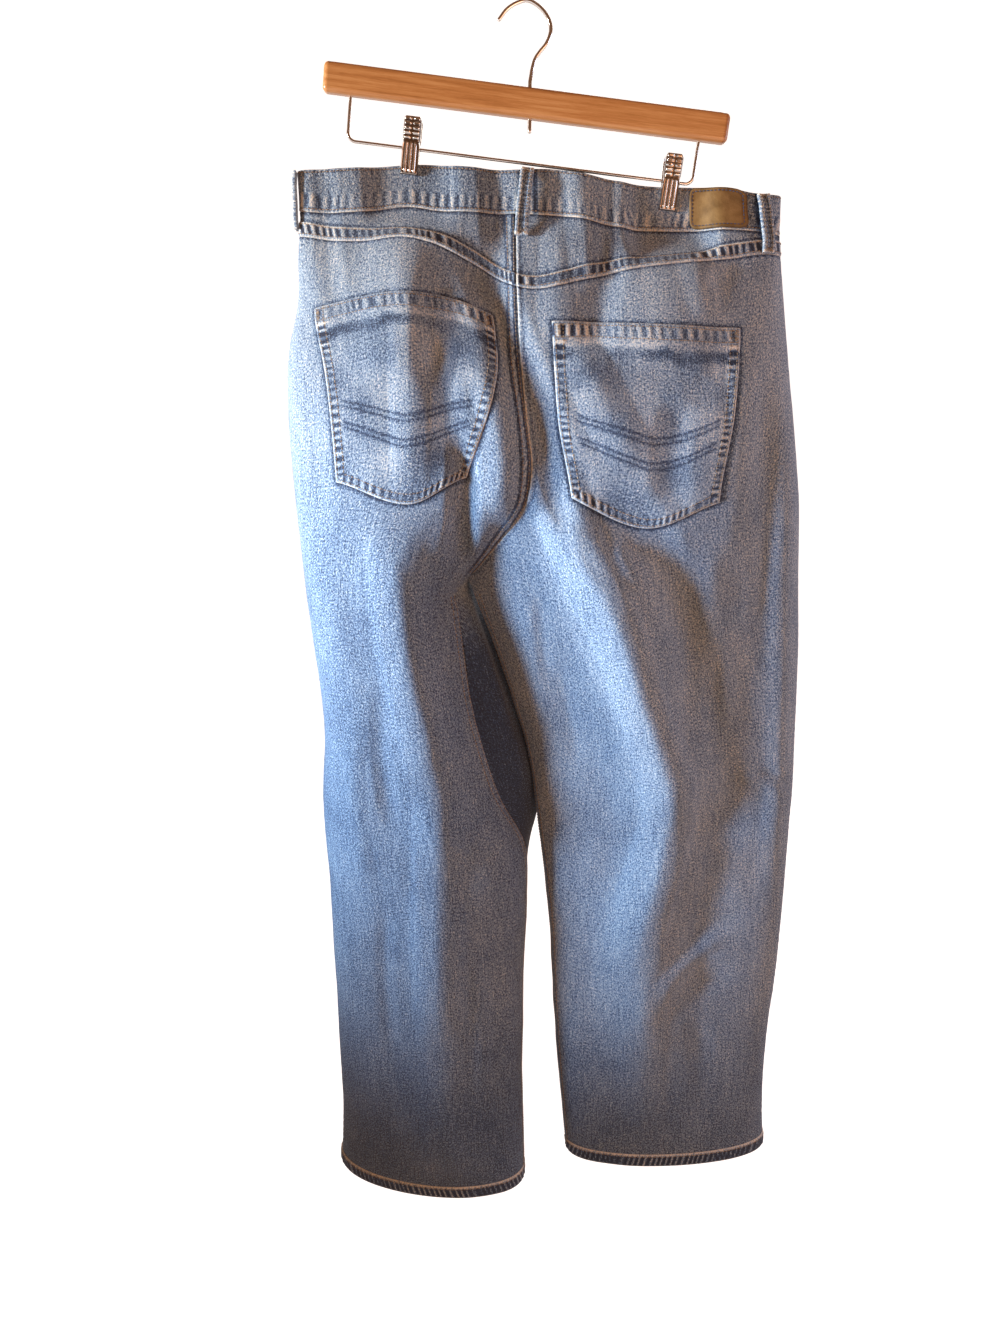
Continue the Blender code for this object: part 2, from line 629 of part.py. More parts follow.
class Skin:
    """A grid of cloth points with their normals, which pieces are cut from and laid on."""

    def __init__(self, side, around, height):
        self.points = cloth(side, around, height)
        self.normals = outward(side, around, height)

    def like(self, points, normals):
        made = object.__new__(Skin)
        made.points, made.normals = points, normals
        return made

    def joined(self, other):
        """This grid and another one side by side, with the other's first column left out."""
        pairs = ((self.points, other.points), (self.normals, other.normals))
        return self.like(*(np.concatenate([a, b[:, 1:]], axis=1) for a, b in pairs))

    def without_last(self):
        return self.like(self.points[:, :-1], self.normals[:, :-1])

    def turned_round(self):
        """The same grid with its columns in the other order."""
        return self.like(self.points[:, ::-1], self.normals[:, ::-1])

    def at(self, rows, columns):
        """Points and normals at whole or part row and column numbers, on the grid's flat faces."""
        rows, columns = np.broadcast_arrays(rows, columns)
        r = np.clip(np.floor(rows).astype(int), 0, self.points.shape[0] - 2)
        c = np.clip(np.floor(columns).astype(int), 0, self.points.shape[1] - 2)
        down, along = (rows - r)[..., None], (columns - c)[..., None]
        found = []
        for grid in (self.points, self.normals):
            top = grid[r, c] * (1 - along) + grid[r, c + 1] * along
            low = grid[r + 1, c] * (1 - along) + grid[r + 1, c + 1] * along
            found.append(top * (1 - down) + low * down)
        return found

    def wall(self, name, thickness, finish, proud=0.0, ring=False):
        outer = self.points + proud * self.normals
        return wall(name, outer, outer - thickness * self.normals, finish, ring)

    def laid_on(self, name, rows, columns, thickness, finish, proud=GAP):
        """A piece that lies on this grid, with its points at these row and column numbers."""
        points, normals = self.at(rows, columns)
        inner = points + proud * normals
        return wall(name, inner + thickness * normals, inner, finish)


def cuts(span):
    """The two ends of a span and every whole number between them."""
    whole = np.arange(math.ceil(span[0] + 1e-6), math.floor(span[1] - 1e-6) + 1)
    return np.concatenate([[span[0]], whole, [span[1]]]).astype(float)


def level(edge, x):
    """Height of an edge at x: the edge is a table, or one height all the way."""
    return across(edge, x) if isinstance(edge, tuple) else np.zeros(np.shape(x)) + edge


def lowered(edge, by):
    return tuple((x, height - by) for x, height in edge)


def rows_on(side, edges, counts, around_of):
    """Around and height of a grid whose rows follow the edges; around_of gives the columns at each height."""
    height = blocks([level(edge, np.full(1, side * 0.1)) for edge in edges], counts)
    for _ in range(4):
        around = around_of(height)
        height = np.broadcast_to(height, around.shape)
        x = cloth(side, around, height)[..., 0]
        stops = np.cumsum((0,) + tuple(counts))
        height = blocks([level(edge, x[row]) for edge, row in zip(edges, stops)], counts)
    return around, height


def back_columns(side):
    """Columns of the back at any heights: the pocket's two long edges are among them."""
    heights, inner_x, outer_x = zip(*POCKET_EDGES[side])
    count = sum(BACK_COLUMNS) + 1
    first, last = BACK_COLUMNS[0], BACK_COLUMNS[0] + BACK_COLUMNS[1]

    def around_of(height):
        height = np.broadcast_to(height, (len(height), count))
        start = moved(side, np.zeros(len(height)), height[:, 0], GAP / 2)
        inner = around_at_x(side, through(heights, inner_x, height[:, first]), height[:, first])
        outer = around_at_x(side, through(heights, outer_x, height[:, last]), height[:, last])
        stop = moved(side, np.ones(len(height)), height[:, -1], -GAP / 2)
        return blocks([start, inner, outer, stop], BACK_COLUMNS).T

    return around_of


def mouth_top(side):
    """Height at which the front pocket's mouth leaves the waistband, at the outer seam."""
    return across(BAND_LOW, OUTER_SEAM[side][1][1])


def mouth(side, height):
    """Around value of the front pocket's mouth: a scoop from the waistband to the outer seam."""
    down = np.clip((mouth_top(side) - height) / MOUTH_DEPTH, 0, 1)
    return 1 + MOUTH_SHARE * np.cos(math.pi / 2 * down) ** MOUTH_ROUNDNESS


def front_columns(side, scooped):
    """Columns of the front at any heights, from the pocket mouth or the outer seam to the inner edge."""

    def around_of(height):
        height = height[:, 0]
        start = moved(side, np.full(len(height), 1 + 1e-6), height, GAP / 2)
        if scooped:
            start = np.maximum(start, mouth(side, height))
        stop = moved(side, np.full(len(height), 2.0), height, -GAP / 2)
        share = np.linspace(0, 1, FRONT_COLUMNS + 1) ** FRONT_CROWDING
        return start[:, None] + (stop - start)[:, None] * share

    return around_of


def facing_columns(side):
    """Columns of the facing behind the front pocket's mouth, past the mouth's far end."""

    def around_of(height):
        start = moved(side, np.full(len(height), 1 + 1e-6), height[:, 0], FACING_START)
        stop = np.full(len(height), 1 + MOUTH_SHARE + FACING_UNDER)
        return blocks([start, stop], (FACING_COLUMNS,)).T

    return around_of


def ribbon(name, points, normals, width, lifts, thickness, finish):
    """A flat strip along a line on the cloth, lifted off it by an amount at each point."""
    along = np.gradient(points, axis=0)
    side = np.cross(along, normals)
    side /= np.linalg.norm(side, axis=-1, keepdims=True)
    low = points + normals * np.asarray(lifts)[:, None]
    inner = np.stack([low - side * width / 2, low + side * width / 2], axis=1)
    outer = inner + thickness * normals[:, None]
    return wall(name, outer, inner, finish)


def belt_loop(name, loop):
    """A strip sewn down at its two ends and standing off the waistband between them."""
    share = np.linspace(0, 1, LOOP_ROWS + 1)
    height = loop.top + (loop.foot - loop.top) * share
    x = loop.top_x + (loop.foot_x - loop.top_x) * share
    around = around_at_x(loop.side, x, height, loop.face)
    lifts = LOOP_SEWN_LIFT + loop.stand_off * np.clip(LOOP_FLATNESS * np.sin(math.pi * share), 0, 1)
    points, normals = cloth(loop.side, around, height), outward(loop.side, around, height)
    ribbon(name, points, normals, LOOP_WIDTH, lifts, LOOP_WALL, denim_doubled())


def hanger_frame():
    """The empty that turns the whole hanger about the hook's crest."""
    frame = bpy.data.objects.new("hanger_frame", None)
    frame.rotation_euler = (0, HANGER_TILT, 0)
    bpy.context.scene.collection.objects.link(frame)
    return frame


def wire(name, path, thickness, frame):
    """A round wire of poly points in the hanger's own plane."""
    curve = bpy.data.curves.new(name, "CURVE")
    curve.dimensions = "3D"
    curve.bevel_depth = thickness / 2
    curve.bevel_resolution = 1
    curve.use_fill_caps = True
    line = curve.splines.new("POLY")
    line.points.add(len(path) - 1)
    for point, (x, y, z) in zip(line.points, path):
        point.co = (x, y, z, 1.0)
    node = bpy.data.objects.new(name, curve)
    curve.materials.append(chrome())
    bpy.context.scene.collection.objects.link(node)
    node.parent = frame
    return node


def hook_path():
    """Along the hook's own points, then straight down the shank."""
    knots = np.arange(len(HOOK_LINE))
    at = np.linspace(0, knots[-1], 3 * len(HOOK_LINE))
    xs, zs = (through(knots, [p[k] for p in HOOK_LINE], at) for k in (0, 1))
    bend = [(float(x), 0.0, float(z)) for x, z in zip(xs, zs)]
    return bend + [(SHANK_TOP[0], 0.0, SHANK_TOP[1]), (SHANK_END[0], 0.0, SHANK_END[1])]


def clip_wire_path():
    """Down from the bar, round a corner, along under it, round a corner and up."""
    low, half, radius = CLIP_WIRE_Z, CLIP_WIRE_HALF, CLIP_WIRE_CORNER
    quarter = [math.radians(15 * k) for k in range(7)]
    right = [(half - radius + radius * math.cos(a), low + radius - radius * math.sin(a)) for a in quarter]
    right = [(half, BAR_Z - BAR_HEIGHT / 2 + CLIP_WIRE_DEEP)] + right
    left = [(-x, z) for x, z in reversed(right)]
    return [(BAR_X + x, 0.0, z) for x, z in right + left]


def cutter(name, foot, top, radius, frame):
    """A drill between two x, z points of the hanger's own frame."""
    rise = (top[0] - foot[0], top[1] - foot[1])
    shape = bmesh.new()
    depth = math.hypot(*rise)
    bmesh.ops.create_cone(shape, cap_ends=True, segments=16, radius1=radius, radius2=radius, depth=depth)
    mesh = bpy.data.meshes.new(name)
    shape.to_mesh(mesh)
    shape.free()
    node = bpy.data.objects.new(name, mesh)
    node.location = ((foot[0] + top[0]) / 2, 0, (foot[1] + top[1]) / 2)
    node.rotation_euler = (0, math.atan2(*rise), 0)
    node.parent = frame
    node.hide_render = True
    node.display_type = "WIRE"
    bpy.context.scene.collection.objects.link(node)
    return node


def hanger_bar(frame):
    shape = bmesh.new()
    bmesh.ops.create_cube(shape, size=1.0)
    bmesh.ops.scale(shape, vec=(BAR_LENGTH, BAR_THICK, BAR_HEIGHT), verts=shape.verts)
    mesh = bpy.data.meshes.new("hanger_bar")
    shape.to_mesh(mesh)
    shape.free()
    node = place("hanger_bar", mesh, wood())
    node.location = (BAR_X, 0, BAR_Z)
    node.parent = frame
    rounding = node.modifiers.new("rounded_edges", "BEVEL")
    rounding.width = BAR_ROUNDING
    rounding.segments = 3
    low = BAR_Z - BAR_HEIGHT / 2
    drills = [cutter("shank_drill", SHANK_END, SHANK_TOP, HOOK_WIRE / 2 + GAP, frame)]
    for sign, name in ((-1, "left_drill"), (1, "right_drill")):
        x = BAR_X + sign * CLIP_WIRE_HALF
        foot, top = (x, low - DRILL_PAST), (x, low + CLIP_WIRE_DEEP + GAP)
        drills.append(cutter(name, foot, top, CLIP_WIRE / 2 + GAP, frame))
    for drill in drills:
        cut = node.modifiers.new(drill.name, "BOOLEAN")
        cut.operation = "DIFFERENCE"
        cut.object = drill
    return node


def jaw_relief(across_share, up):
    """Raised pattern of a jaw's outer face: flutes below and two columns of pads near the top."""
    flutes = 0.5 + 0.5 * np.cos(2 * math.pi * across_share * JAW_FLUTES)
    bars = 0.5 - 0.5 * np.cos(2 * math.pi * (up - JAW_PADS_FROM) / JAW_PAD_PITCH)
    pads = np.abs(np.sin(2 * math.pi * across_share)) * bars
    return JAW_RELIEF * np.where(up > JAW_PADS_FROM, pads, flutes)


def clip_jaw(name, x, foot, face, raised, frame):
    """One sprung plate: close to the cloth at its foot, further off at the wire and at the finger end."""
    if raised:
        pads = JAW_PADS_FROM + (1 - JAW_PADS_FROM) * np.linspace(0, 1, 9)
        up = np.concatenate([np.linspace(0, JAW_PADS_FROM - 0.02, 3), pads])
        shares = np.linspace(0, 1, 2 * JAW_FLUTES + 1)
    else:
        up, shares = np.linspace(0, 1, 5), np.linspace(0, 1, 5)
    share, rise = np.meshgrid(shares, up)
    off = JAW_FOOT + (JAW_TOP - JAW_FOOT) * rise**JAW_BOW
    drawn_in = JAW_EDGE_DROP * (2 * share - 1) ** 4
    relief = jaw_relief(share, rise) if raised else 0.0
    xs = x + (share - 0.5) * JAW_WIDTH
    zs = foot + rise * JAW_HEIGHT
    inner = np.stack([xs, face * off, zs], axis=-1)
    outer = np.stack([xs, face * (off + JAW_WALL + relief - drawn_in), zs], axis=-1)
    node = wall(name, outer, inner, chrome())
    node.parent = frame
    return node


def turned(name, profile, place_at, axis, finish):
    """A turned piece: the profile (radius, height) spun about an axis through a point."""
    shape = bmesh.new()
    points = [shape.verts.new((radius, 0, height)) for radius, height in profile]
    edges = [shape.edges.new(pair) for pair in zip(points, points[1:])]
    around = {"cent": (0, 0, 0), "axis": (0, 0, 1), "angle": 2 * math.pi}
    bmesh.ops.spin(shape, geom=points + edges, steps=20, use_merge=True, **around)
    bmesh.ops.remove_doubles(shape, verts=shape.verts, dist=1e-6)
    bmesh.ops.recalc_face_normals(shape, faces=shape.faces)
    mesh = bpy.data.meshes.new(name)
    shape.to_mesh(mesh)
    shape.free()
    node = place(name, mesh, finish)
    node.location = place_at
    node.rotation_mode = "QUATERNION"
    node.rotation_quaternion = Vector(axis).to_track_quat("Z", "Y")
    return node


def clear_scene():
    for thing in list(bpy.data.objects):
        bpy.data.objects.remove(thing, do_unlink=True)


def make_side(side):
    """The cloth pieces of one side. It gives back its waistband's skins, back and front, and its front's."""
    name = SIDE_NAMES[side]
    hem_top = HEM_EDGE[side] + HEM_HEIGHT
    in_back, in_front = back_columns(side), front_columns(side, scooped=False)

    leg = (CROTCH, PAST_CROTCH, hem_top + GAP)
    edges = (lowered(YOKE_SEAM, GAP / 2), POCKET_TOP[side], POCKET_BOTTOM[side]) + leg
    back = Skin(side, *rows_on(side, edges, BACK_ROWS, in_back))
    back.wall("back_panel_" + name, CLOTH_WALL, denim())
    columns = cuts((BACK_COLUMNS[0], BACK_COLUMNS[0] + BACK_COLUMNS[1]))
    rows = cuts((BACK_ROWS[0], BACK_ROWS[0] + BACK_ROWS[1]))
    back.laid_on("back_pocket_" + name, rows[:, None], columns, POCKET_WALL, denim_doubled())

    edges = (lowered(BAND_LOW, GAP / 2), lowered(YOKE_SEAM, -GAP / 2))
    yoke = Skin(side, *rows_on(side, edges, (YOKE_ROWS,), in_back))
    yoke.wall("back_yoke_" + name, CLOTH_WALL, denim())

    edges = (lowered(FRONT_BAND_LOW, GAP / 2), MOUTH_LEVEL[side]) + leg
    front = Skin(side, *rows_on(side, edges, FRONT_ROWS, front_columns(side, scooped=True)))
    front.wall("front_panel_" + name, CLOTH_WALL, denim())

    mouth_foot = across(MOUTH_LEVEL[side], OUTER_SEAM[side][0][1])
    edges = (lowered(FRONT_BAND_LOW, FACING_CLEAR), mouth_foot - FACING_PAST)
    facing = Skin(side, *rows_on(side, edges, (FACING_ROWS,), facing_columns(side)))
    facing.wall("pocket_facing_" + name, POCKET_WALL, denim(), proud=-(CLOTH_WALL + FACING_SUNK))

    edges = (hem_top, HEM_EDGE[side])
    hem_back = Skin(side, *rows_on(side, edges, (HEM_ROWS,), in_back))
    hem_front = Skin(side, *rows_on(side, edges, (HEM_ROWS,), in_front))
    hem = hem_back.joined(hem_front.without_last())
    hem.wall("leg_hem_" + name, HEM_WALL, denim_doubled(), proud=HEM_PROUD, ring=True)

    band = []
    for low, columns_of in ((BAND_LOW, in_back), (FRONT_BAND_LOW, in_front)):
        edges = (BAND_TOP, lowered(low, -GAP / 2))
        band.append(Skin(side, *rows_on(side, edges, (BAND_ROWS,), columns_of)))
    return band[0], band[1], front


def patch(band):
    """The leather patch, on the back of the waistband."""
    numbers = np.arange(band.points.shape[1])
    columns = np.interp(PATCH_X, band.points[1, :, 0], numbers)
    rows = cuts(PATCH_ROWS)
    band.laid_on(
        "leather_patch", rows[:, None], cuts(columns), PATCH_WALL, leather(), proud=BAND_PROUD + 2 * GAP
    )


def placket(front):
    """The fly placket: as wide all the way down, then rounded off towards the centre front."""
    rows = cuts(PLACKET_ROWS)
    last = front.points.shape[1] - 1
    pitch = np.linalg.norm(front.points[:, last] - front.points[:, last - 1], axis=-1)
    width = PLACKET_WIDTH / np.interp(rows, np.arange(len(pitch)), pitch)
    down = np.clip((rows - rows[-3]) / (rows[-1] - rows[-3]), 0, 1)
    width = width * np.sqrt(1 - PLACKET_TAPER * down**2)
    columns = last - PLACKET_INSET - width[:, None] * np.linspace(1, 0, 4)
    front.laid_on("fly_placket", rows[:, None], columns, PLACKET_WALL, denim_doubled(), proud=3 * GAP)


def zip_tape():
    height = np.linspace(*ZIP_HEIGHTS, ZIP_ROWS + 1)
    around = np.full(height.shape, 2.0)
    points, normals = cloth(LEFT, around, height), outward(LEFT, around, height)
    lifts = np.full(height.shape, -ZIP_SUNK - ZIP_WALL)
    ribbon("fly_zip", points, normals, ZIP_WIDTH, lifts, ZIP_WALL, brass())


def button(band):
    """The waist button, on the end of the waistband that laps over."""
    last = band.points.shape[1] - 1
    along = band.points[1, last] - band.points[1, last - 1]
    out = unit(np.cross(along, band.points[-1, last] - band.points[0, last]))
    point, _ = band.at(np.array(BAND_ROWS / 2), np.array(last - BUTTON_FROM_END / np.linalg.norm(along)))
    profile = [(BUTTON_RADIUS * across_it, BUTTON_RISE * up) for across_it, up in BUTTON_OUTLINE]
    turned("waist_button", profile, point + out * (BAND_PROUD + GAP), out, brass())


def make_hanger():
    frame = hanger_frame()
    hanger_bar(frame)
    wire("hanger_hook", hook_path(), HOOK_WIRE, frame)
    wire("clip_wire", clip_wire_path(), CLIP_WIRE, frame)
    for name, (x, foot) in CLIPS.items():
        clip_jaw("clip_back_jaw_" + name, x, foot, -1, True, frame)
        clip_jaw("clip_front_jaw_" + name, x, foot, 1, False, frame)


def main():
    clear_scene()
    back_left, front_left, fly_side = make_side(LEFT)
    back_right, front_right, _ = make_side(RIGHT)
    band = front_left.turned_round().joined(back_left.turned_round()).joined(back_right).joined(front_right)
    band.wall("waistband", BAND_WALL, denim_doubled(), proud=BAND_PROUD)
    patch(back_right)
    placket(fly_side)
    zip_tape()
    button(front_left)
    for name, loop in BELT_LOOPS.items():
        belt_loop("belt_loop_" + name, loop)
    make_hanger()


main()
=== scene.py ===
"""The looks of straight leg jeans that hang by two sprung clips from a wooden trouser hanger.

Laid out as a Blender add-on and run as a script, in metres and +Z up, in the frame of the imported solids.
The origin is the inner crest of the hook, the back of the jeans faces -Y and +X is the wearer's right.

The cloth is one surface, cloth(side, around, height). At each height a side is a line that leaves the
inner edge of the back (around 0), runs over the back to the outer seam (around 1) and returns over the
front to the inner edge of the front (around 2). Each cloth piece is a fine grid of points of this surface,
a Skin, raised along its normals by the puckers and creases of that piece, and closed into a thin wall.
"""

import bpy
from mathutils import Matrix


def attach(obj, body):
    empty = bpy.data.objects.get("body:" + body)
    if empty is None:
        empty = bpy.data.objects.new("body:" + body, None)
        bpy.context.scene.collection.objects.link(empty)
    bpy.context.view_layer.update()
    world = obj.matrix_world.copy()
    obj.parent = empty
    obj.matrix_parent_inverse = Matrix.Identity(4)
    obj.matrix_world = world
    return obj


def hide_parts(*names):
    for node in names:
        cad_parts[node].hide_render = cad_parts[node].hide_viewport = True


bl_info = {
    "name": "Jeans on a Clip Hanger",
    "version": (1, 0, 0),
    "blender": (4, 5, 0),
    "location": "View3D > Sidebar > Jeans",
    "description": "Cloth, sewing and fittings of straight leg jeans that hang from a clip hanger",
    "category": "Add Mesh",
}

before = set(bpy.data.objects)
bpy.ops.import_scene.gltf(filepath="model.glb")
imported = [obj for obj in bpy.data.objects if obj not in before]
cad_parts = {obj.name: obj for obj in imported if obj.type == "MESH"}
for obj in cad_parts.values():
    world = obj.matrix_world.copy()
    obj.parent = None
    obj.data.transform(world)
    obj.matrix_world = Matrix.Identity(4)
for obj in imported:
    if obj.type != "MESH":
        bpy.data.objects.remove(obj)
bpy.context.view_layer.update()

import math
from collections import namedtuple
from functools import cache

import bpy
import numpy as np
from bpy.props import FloatProperty, FloatVectorProperty, PointerProperty
from mathutils import Matrix, Vector

BODY = "root"

# The cloth pieces and fittings: metres, and shares of the pieces.
GAP = 0.0003
CLOTH_WALL = 0.0013
DOUBLED_WALL = 0.0028
BAND_PROUD = 0.0005
POCKET_WALL = 0.0015
HEM_PROUD = 0.0006
HEM_HEIGHT = 0.0145
MOUTH_DEPTH = 0.0800
MOUTH_SHARE = 0.42
MOUTH_ROUNDNESS = 0.8
FACING_SUNK = 0.0050
FACING_START = 0.0045
FACING_PAST = 0.0150
FACING_UNDER = 0.06
LOOP_WIDTH = 0.0120
LOOP_WALL = 0.0022
LOOP_SEWN_LIFT = 0.0013
LOOP_FLATNESS = 1.6
PATCH_WALL = 0.0016
PLACKET_WIDTH = 0.0350
PLACKET_WALL = 0.0012
ZIP_WIDTH = 0.0240
ZIP_SUNK = 0.0055
TENT_TOP = 0.12

# The hanger, in its own level frame.
HANGER_TILT = math.radians(8.5)
BAR_LENGTH = 0.3545
BAR_THICK = 0.0130
BAR_HEIGHT = 0.0245
BAR_ROUNDING = 0.0045
BAR_X = 0.0088
BAR_Z = -0.0768
HOOK_WIRE = 0.0035
CLIP_WIRE = 0.0028
CLIP_WIRE_Z = -0.1243
CLIP_WIRE_HALF = 0.1530
CLIP_WIRE_CORNER = 0.0070
CLIP_WIRE_DEEP = 0.0100
SHANK_TOP = (0.0090, -0.0600)
SHANK_END = (0.0134, -0.0985)
CLIPS = {"left": (-0.0880, -0.1464), "right": (0.1422, -0.1490)}
JAW_HEIGHT = 0.0460
JAW_WIDTH = 0.0155
JAW_WALL = 0.0016
JAW_FOOT = 0.0048
JAW_TOP = 0.0080
JAW_BOW = 1.4
JAW_FLUTES = 4
JAW_PADS_FROM = 0.6
JAW_PAD_PITCH = 0.08
SPRING_RADIUS = 0.0026
SPRING_WIRE = 0.0009
SPRING_LENGTH = 0.0100
SPRING_TURNS = 6
HOOK_LINE = (
    (-0.0228, -0.0152), (-0.0172, -0.007), (-0.009, -0.001), (0.0, 0.00175), (0.01, -0.0018),
    (0.0183, -0.009), (0.0219, -0.018), (0.0198, -0.028), (0.0145, -0.036), (0.0112, -0.042),
    (0.0096, -0.05),
)

LEFT, RIGHT, BOTH = -1, 1, 0
SIDE_NAMES = {LEFT: "left", RIGHT: "right"}
CROTCH = -0.487
DRIFT_REACH = 0.045  # half the height over which the crotch's turn is spread through the cloth
DRIFT_WEIGHTS = (1, 2, 3, 4, 3, 2, 1)  # and how the heights in it count
DRIFT_FULL = 0.3  # the share of the way to the outer seam after which only the spread turn counts
CROTCH_CALM = 0.050  # folds die out over this height above the crotch, beside the seams
SEAM_HOLD = 6  # the power that keeps folds off a seam: higher lets them come closer to it
HEM_EDGE = {LEFT: -1.1535, RIGHT: -1.1385}

# Seam lines: height, x, y.
CENTRE_BACK = (
    (-0.11, -0.013, -0.011), (-0.17, -0.016, -0.015), (-0.2, -0.017, -0.03), (-0.235, -0.018, -0.049),
    (-0.29, -0.017, -0.067), (-0.34, -0.014, -0.076), (-0.39, -0.011, -0.075), (-0.418, -0.017, -0.069),
    (-0.436, -0.028, -0.061), (-0.452, -0.041, -0.051), (-0.487, -0.071, -0.03),
)
CENTRE_FRONT = (
    (-0.11, 0.004, 0.011), (-0.17, 0.004, 0.014), (-0.235, 0.003, 0.04), (-0.3, 0.0, 0.058),
    (-0.37, -0.008, 0.064), (-0.42, -0.024, 0.056), (-0.455, -0.045, 0.036), (-0.478, -0.064, 0.0),
    (-0.487, -0.071, -0.03),
)
INSIDE_LEG = {
    LEFT: (
        (-0.487, -0.071, -0.03), (-0.498, -0.082, -0.034), (-0.515, -0.081, -0.037),
        (-0.55, -0.077, -0.04), (-0.604, -0.072, -0.04), (-0.655, -0.062, -0.036),
        (-0.711, -0.046, -0.026), (-0.76, -0.026, -0.01), (-0.83, -0.024, -0.002), (-0.922, -0.03, -0.002),
        (-1.014, -0.034, -0.01), (-1.155, -0.036, -0.02),
    ),
    RIGHT: (
        (-0.487, -0.071, -0.03), (-0.543, -0.052, -0.018), (-0.61, -0.033, -0.008), (-0.679, -0.017, 0.0),
        (-0.735, -0.011, 0.0), (-0.835, -0.002, 0.0), (-0.954, 0.0015, 0.0), (-1.14, 0.012, 0.0),
    ),
}
OUTER_SEAM = {
    LEFT: (
        (-0.11, -0.206, 0.0), (-0.165, -0.208, 0.0), (-0.2, -0.212, 0.0), (-0.231, -0.215, 0.0),
        (-0.274, -0.226, 0.0), (-0.318, -0.23, 0.0), (-0.4, -0.2305, 0.0), (-0.482, -0.2275, 0.0),
        (-0.634, -0.2215, 0.0), (-0.714, -0.2285, 0.0), (-0.8, -0.2295, 0.002), (-0.914, -0.2315, 0.006),
        (-1.007, -0.235, 0.011), (-1.069, -0.2365, 0.014), (-1.155, -0.244, 0.018),
    ),
    RIGHT: (
        (-0.11, 0.221, 0.0), (-0.203, 0.221, 0.0), (-0.246, 0.225, 0.0), (-0.334, 0.2335, 0.0),
        (-0.385, 0.239, 0.0), (-0.427, 0.2445, 0.0), (-0.524, 0.25, 0.0), (-0.651, 0.252, 0.0),
        (-0.76, 0.249, 0.0), (-0.874, 0.244, 0.0), (-0.933, 0.24, 0.0), (-0.993, 0.2345, 0.0),
        (-1.056, 0.231, 0.0), (-1.14, 0.233, 0.0),
    ),
}
# Where the two thighs press on each other: height, x.
LEGS_MEET = (
    (-0.487, -0.0712), (-0.543, -0.053), (-0.61, -0.0342), (-0.679, -0.018), (-0.735, -0.012),
    (-1.15, -0.012),
)
LEGS_MEET_LEAN = 0.5  # how far that line moves sideways with y
LEGS_MEET_DEPTH = (-0.010, 0.045)  # and between which y it does
LEGS_MEET_SOFT = 0.002

# How a side's line bends at each height. A lean is the angle at which the line leaves its inner edge: 0 is
# straight out of the back or the front, 90 is sideways. A reach is how far the line holds that direction.
Section = namedtuple("Section", "height back_lean back_in back_out front_lean front_in front_out")
SECTIONS = {
    LEFT: (
        Section(-0.110, 90, 0.070, 0.010, 90, 0.070, 0.010),
        Section(-0.165, 90, 0.070, 0.015, 90, 0.070, 0.014),
        Section(-0.205, 90, 0.080, 0.036, 90, 0.080, 0.034),
        Section(-0.260, 88, 0.090, 0.062, 90, 0.090, 0.058),
        Section(-0.330, 84, 0.090, 0.082, 86, 0.090, 0.076),
        Section(-0.400, 72, 0.080, 0.092, 70, 0.080, 0.086),
        Section(-0.440, 55, 0.070, 0.096, 45, 0.075, 0.094),
        Section(-0.487, 40, 0.062, 0.098, -30, 0.096, 0.100),
        Section(-0.550, 40, 0.056, 0.094, -56, 0.165, 0.098),
        Section(-0.640, 45, 0.055, 0.086, -60, 0.200, 0.090),
        Section(-0.700, 38, 0.060, 0.083, -59, 0.196, 0.086),
        Section(-0.745, 15, 0.070, 0.080, -46, 0.150, 0.083),
        Section(-0.790, 6, 0.070, 0.078, -15, 0.085, 0.080),
        Section(-0.860, 0, 0.070, 0.076, 0, 0.076, 0.078),
        Section(-1.000, 0, 0.068, 0.070, 0, 0.070, 0.070),
        Section(-1.155, 0, 0.068, 0.068, 0, 0.068, 0.068),
    ),
    RIGHT: (
        Section(-0.110, 90, 0.080, 0.010, 90, 0.080, 0.010),
        Section(-0.165, 90, 0.080, 0.015, 90, 0.080, 0.014),
        Section(-0.205, 90, 0.090, 0.036, 90, 0.090, 0.034),
        Section(-0.260, 90, 0.100, 0.062, 90, 0.100, 0.058),
        Section(-0.330, 88, 0.110, 0.080, 88, 0.100, 0.074),
        Section(-0.400, 78, 0.110, 0.082, 76, 0.100, 0.074),
        Section(-0.440, 66, 0.105, 0.074, 60, 0.095, 0.066),
        Section(-0.487, 45, 0.095, 0.064, 10, 0.090, 0.058),
        Section(-0.550, 25, 0.075, 0.054, -10, 0.080, 0.052),
        Section(-0.640, 10, 0.056, 0.046, -8, 0.060, 0.046),
        Section(-0.740, 5, 0.044, 0.040, -5, 0.046, 0.040),
        Section(-0.860, 0, 0.038, 0.036, 0, 0.038, 0.036),
        Section(-1.000, 0, 0.042, 0.040, 0, 0.042, 0.040),
        Section(-1.140, 0, 0.050, 0.048, 0, 0.050, 0.048),
    ),
}

# Edges that run across the cloth, level by level: x, height.
BAND_TOP = (
    (-0.21, -0.1243), (-0.15, -0.125), (-0.094, -0.1237), (-0.059, -0.1278), (-0.014, -0.1319),
    (0.01, -0.1322), (0.041, -0.1367), (0.076, -0.1438), (0.106, -0.1478), (0.13, -0.1492),
    (0.156, -0.1508), (0.174, -0.1522), (0.192, -0.1562), (0.222, -0.1586),
)
BAND_LOW = (
    (-0.21, -0.1579), (-0.174, -0.1613), (-0.148, -0.1612), (-0.107, -0.1584), (-0.086, -0.1624),
    (-0.043, -0.1665), (0.001, -0.1696), (0.04, -0.1751), (0.071, -0.1825), (0.112, -0.1852),
    (0.165, -0.1875), (0.201, -0.1902), (0.222, -0.1925),
)
FRONT_BAND_LOW = ((-0.222, -0.1572), (-0.21, -0.1579), (0.004, -0.169), (0.12, -0.181), (0.222, -0.1925))
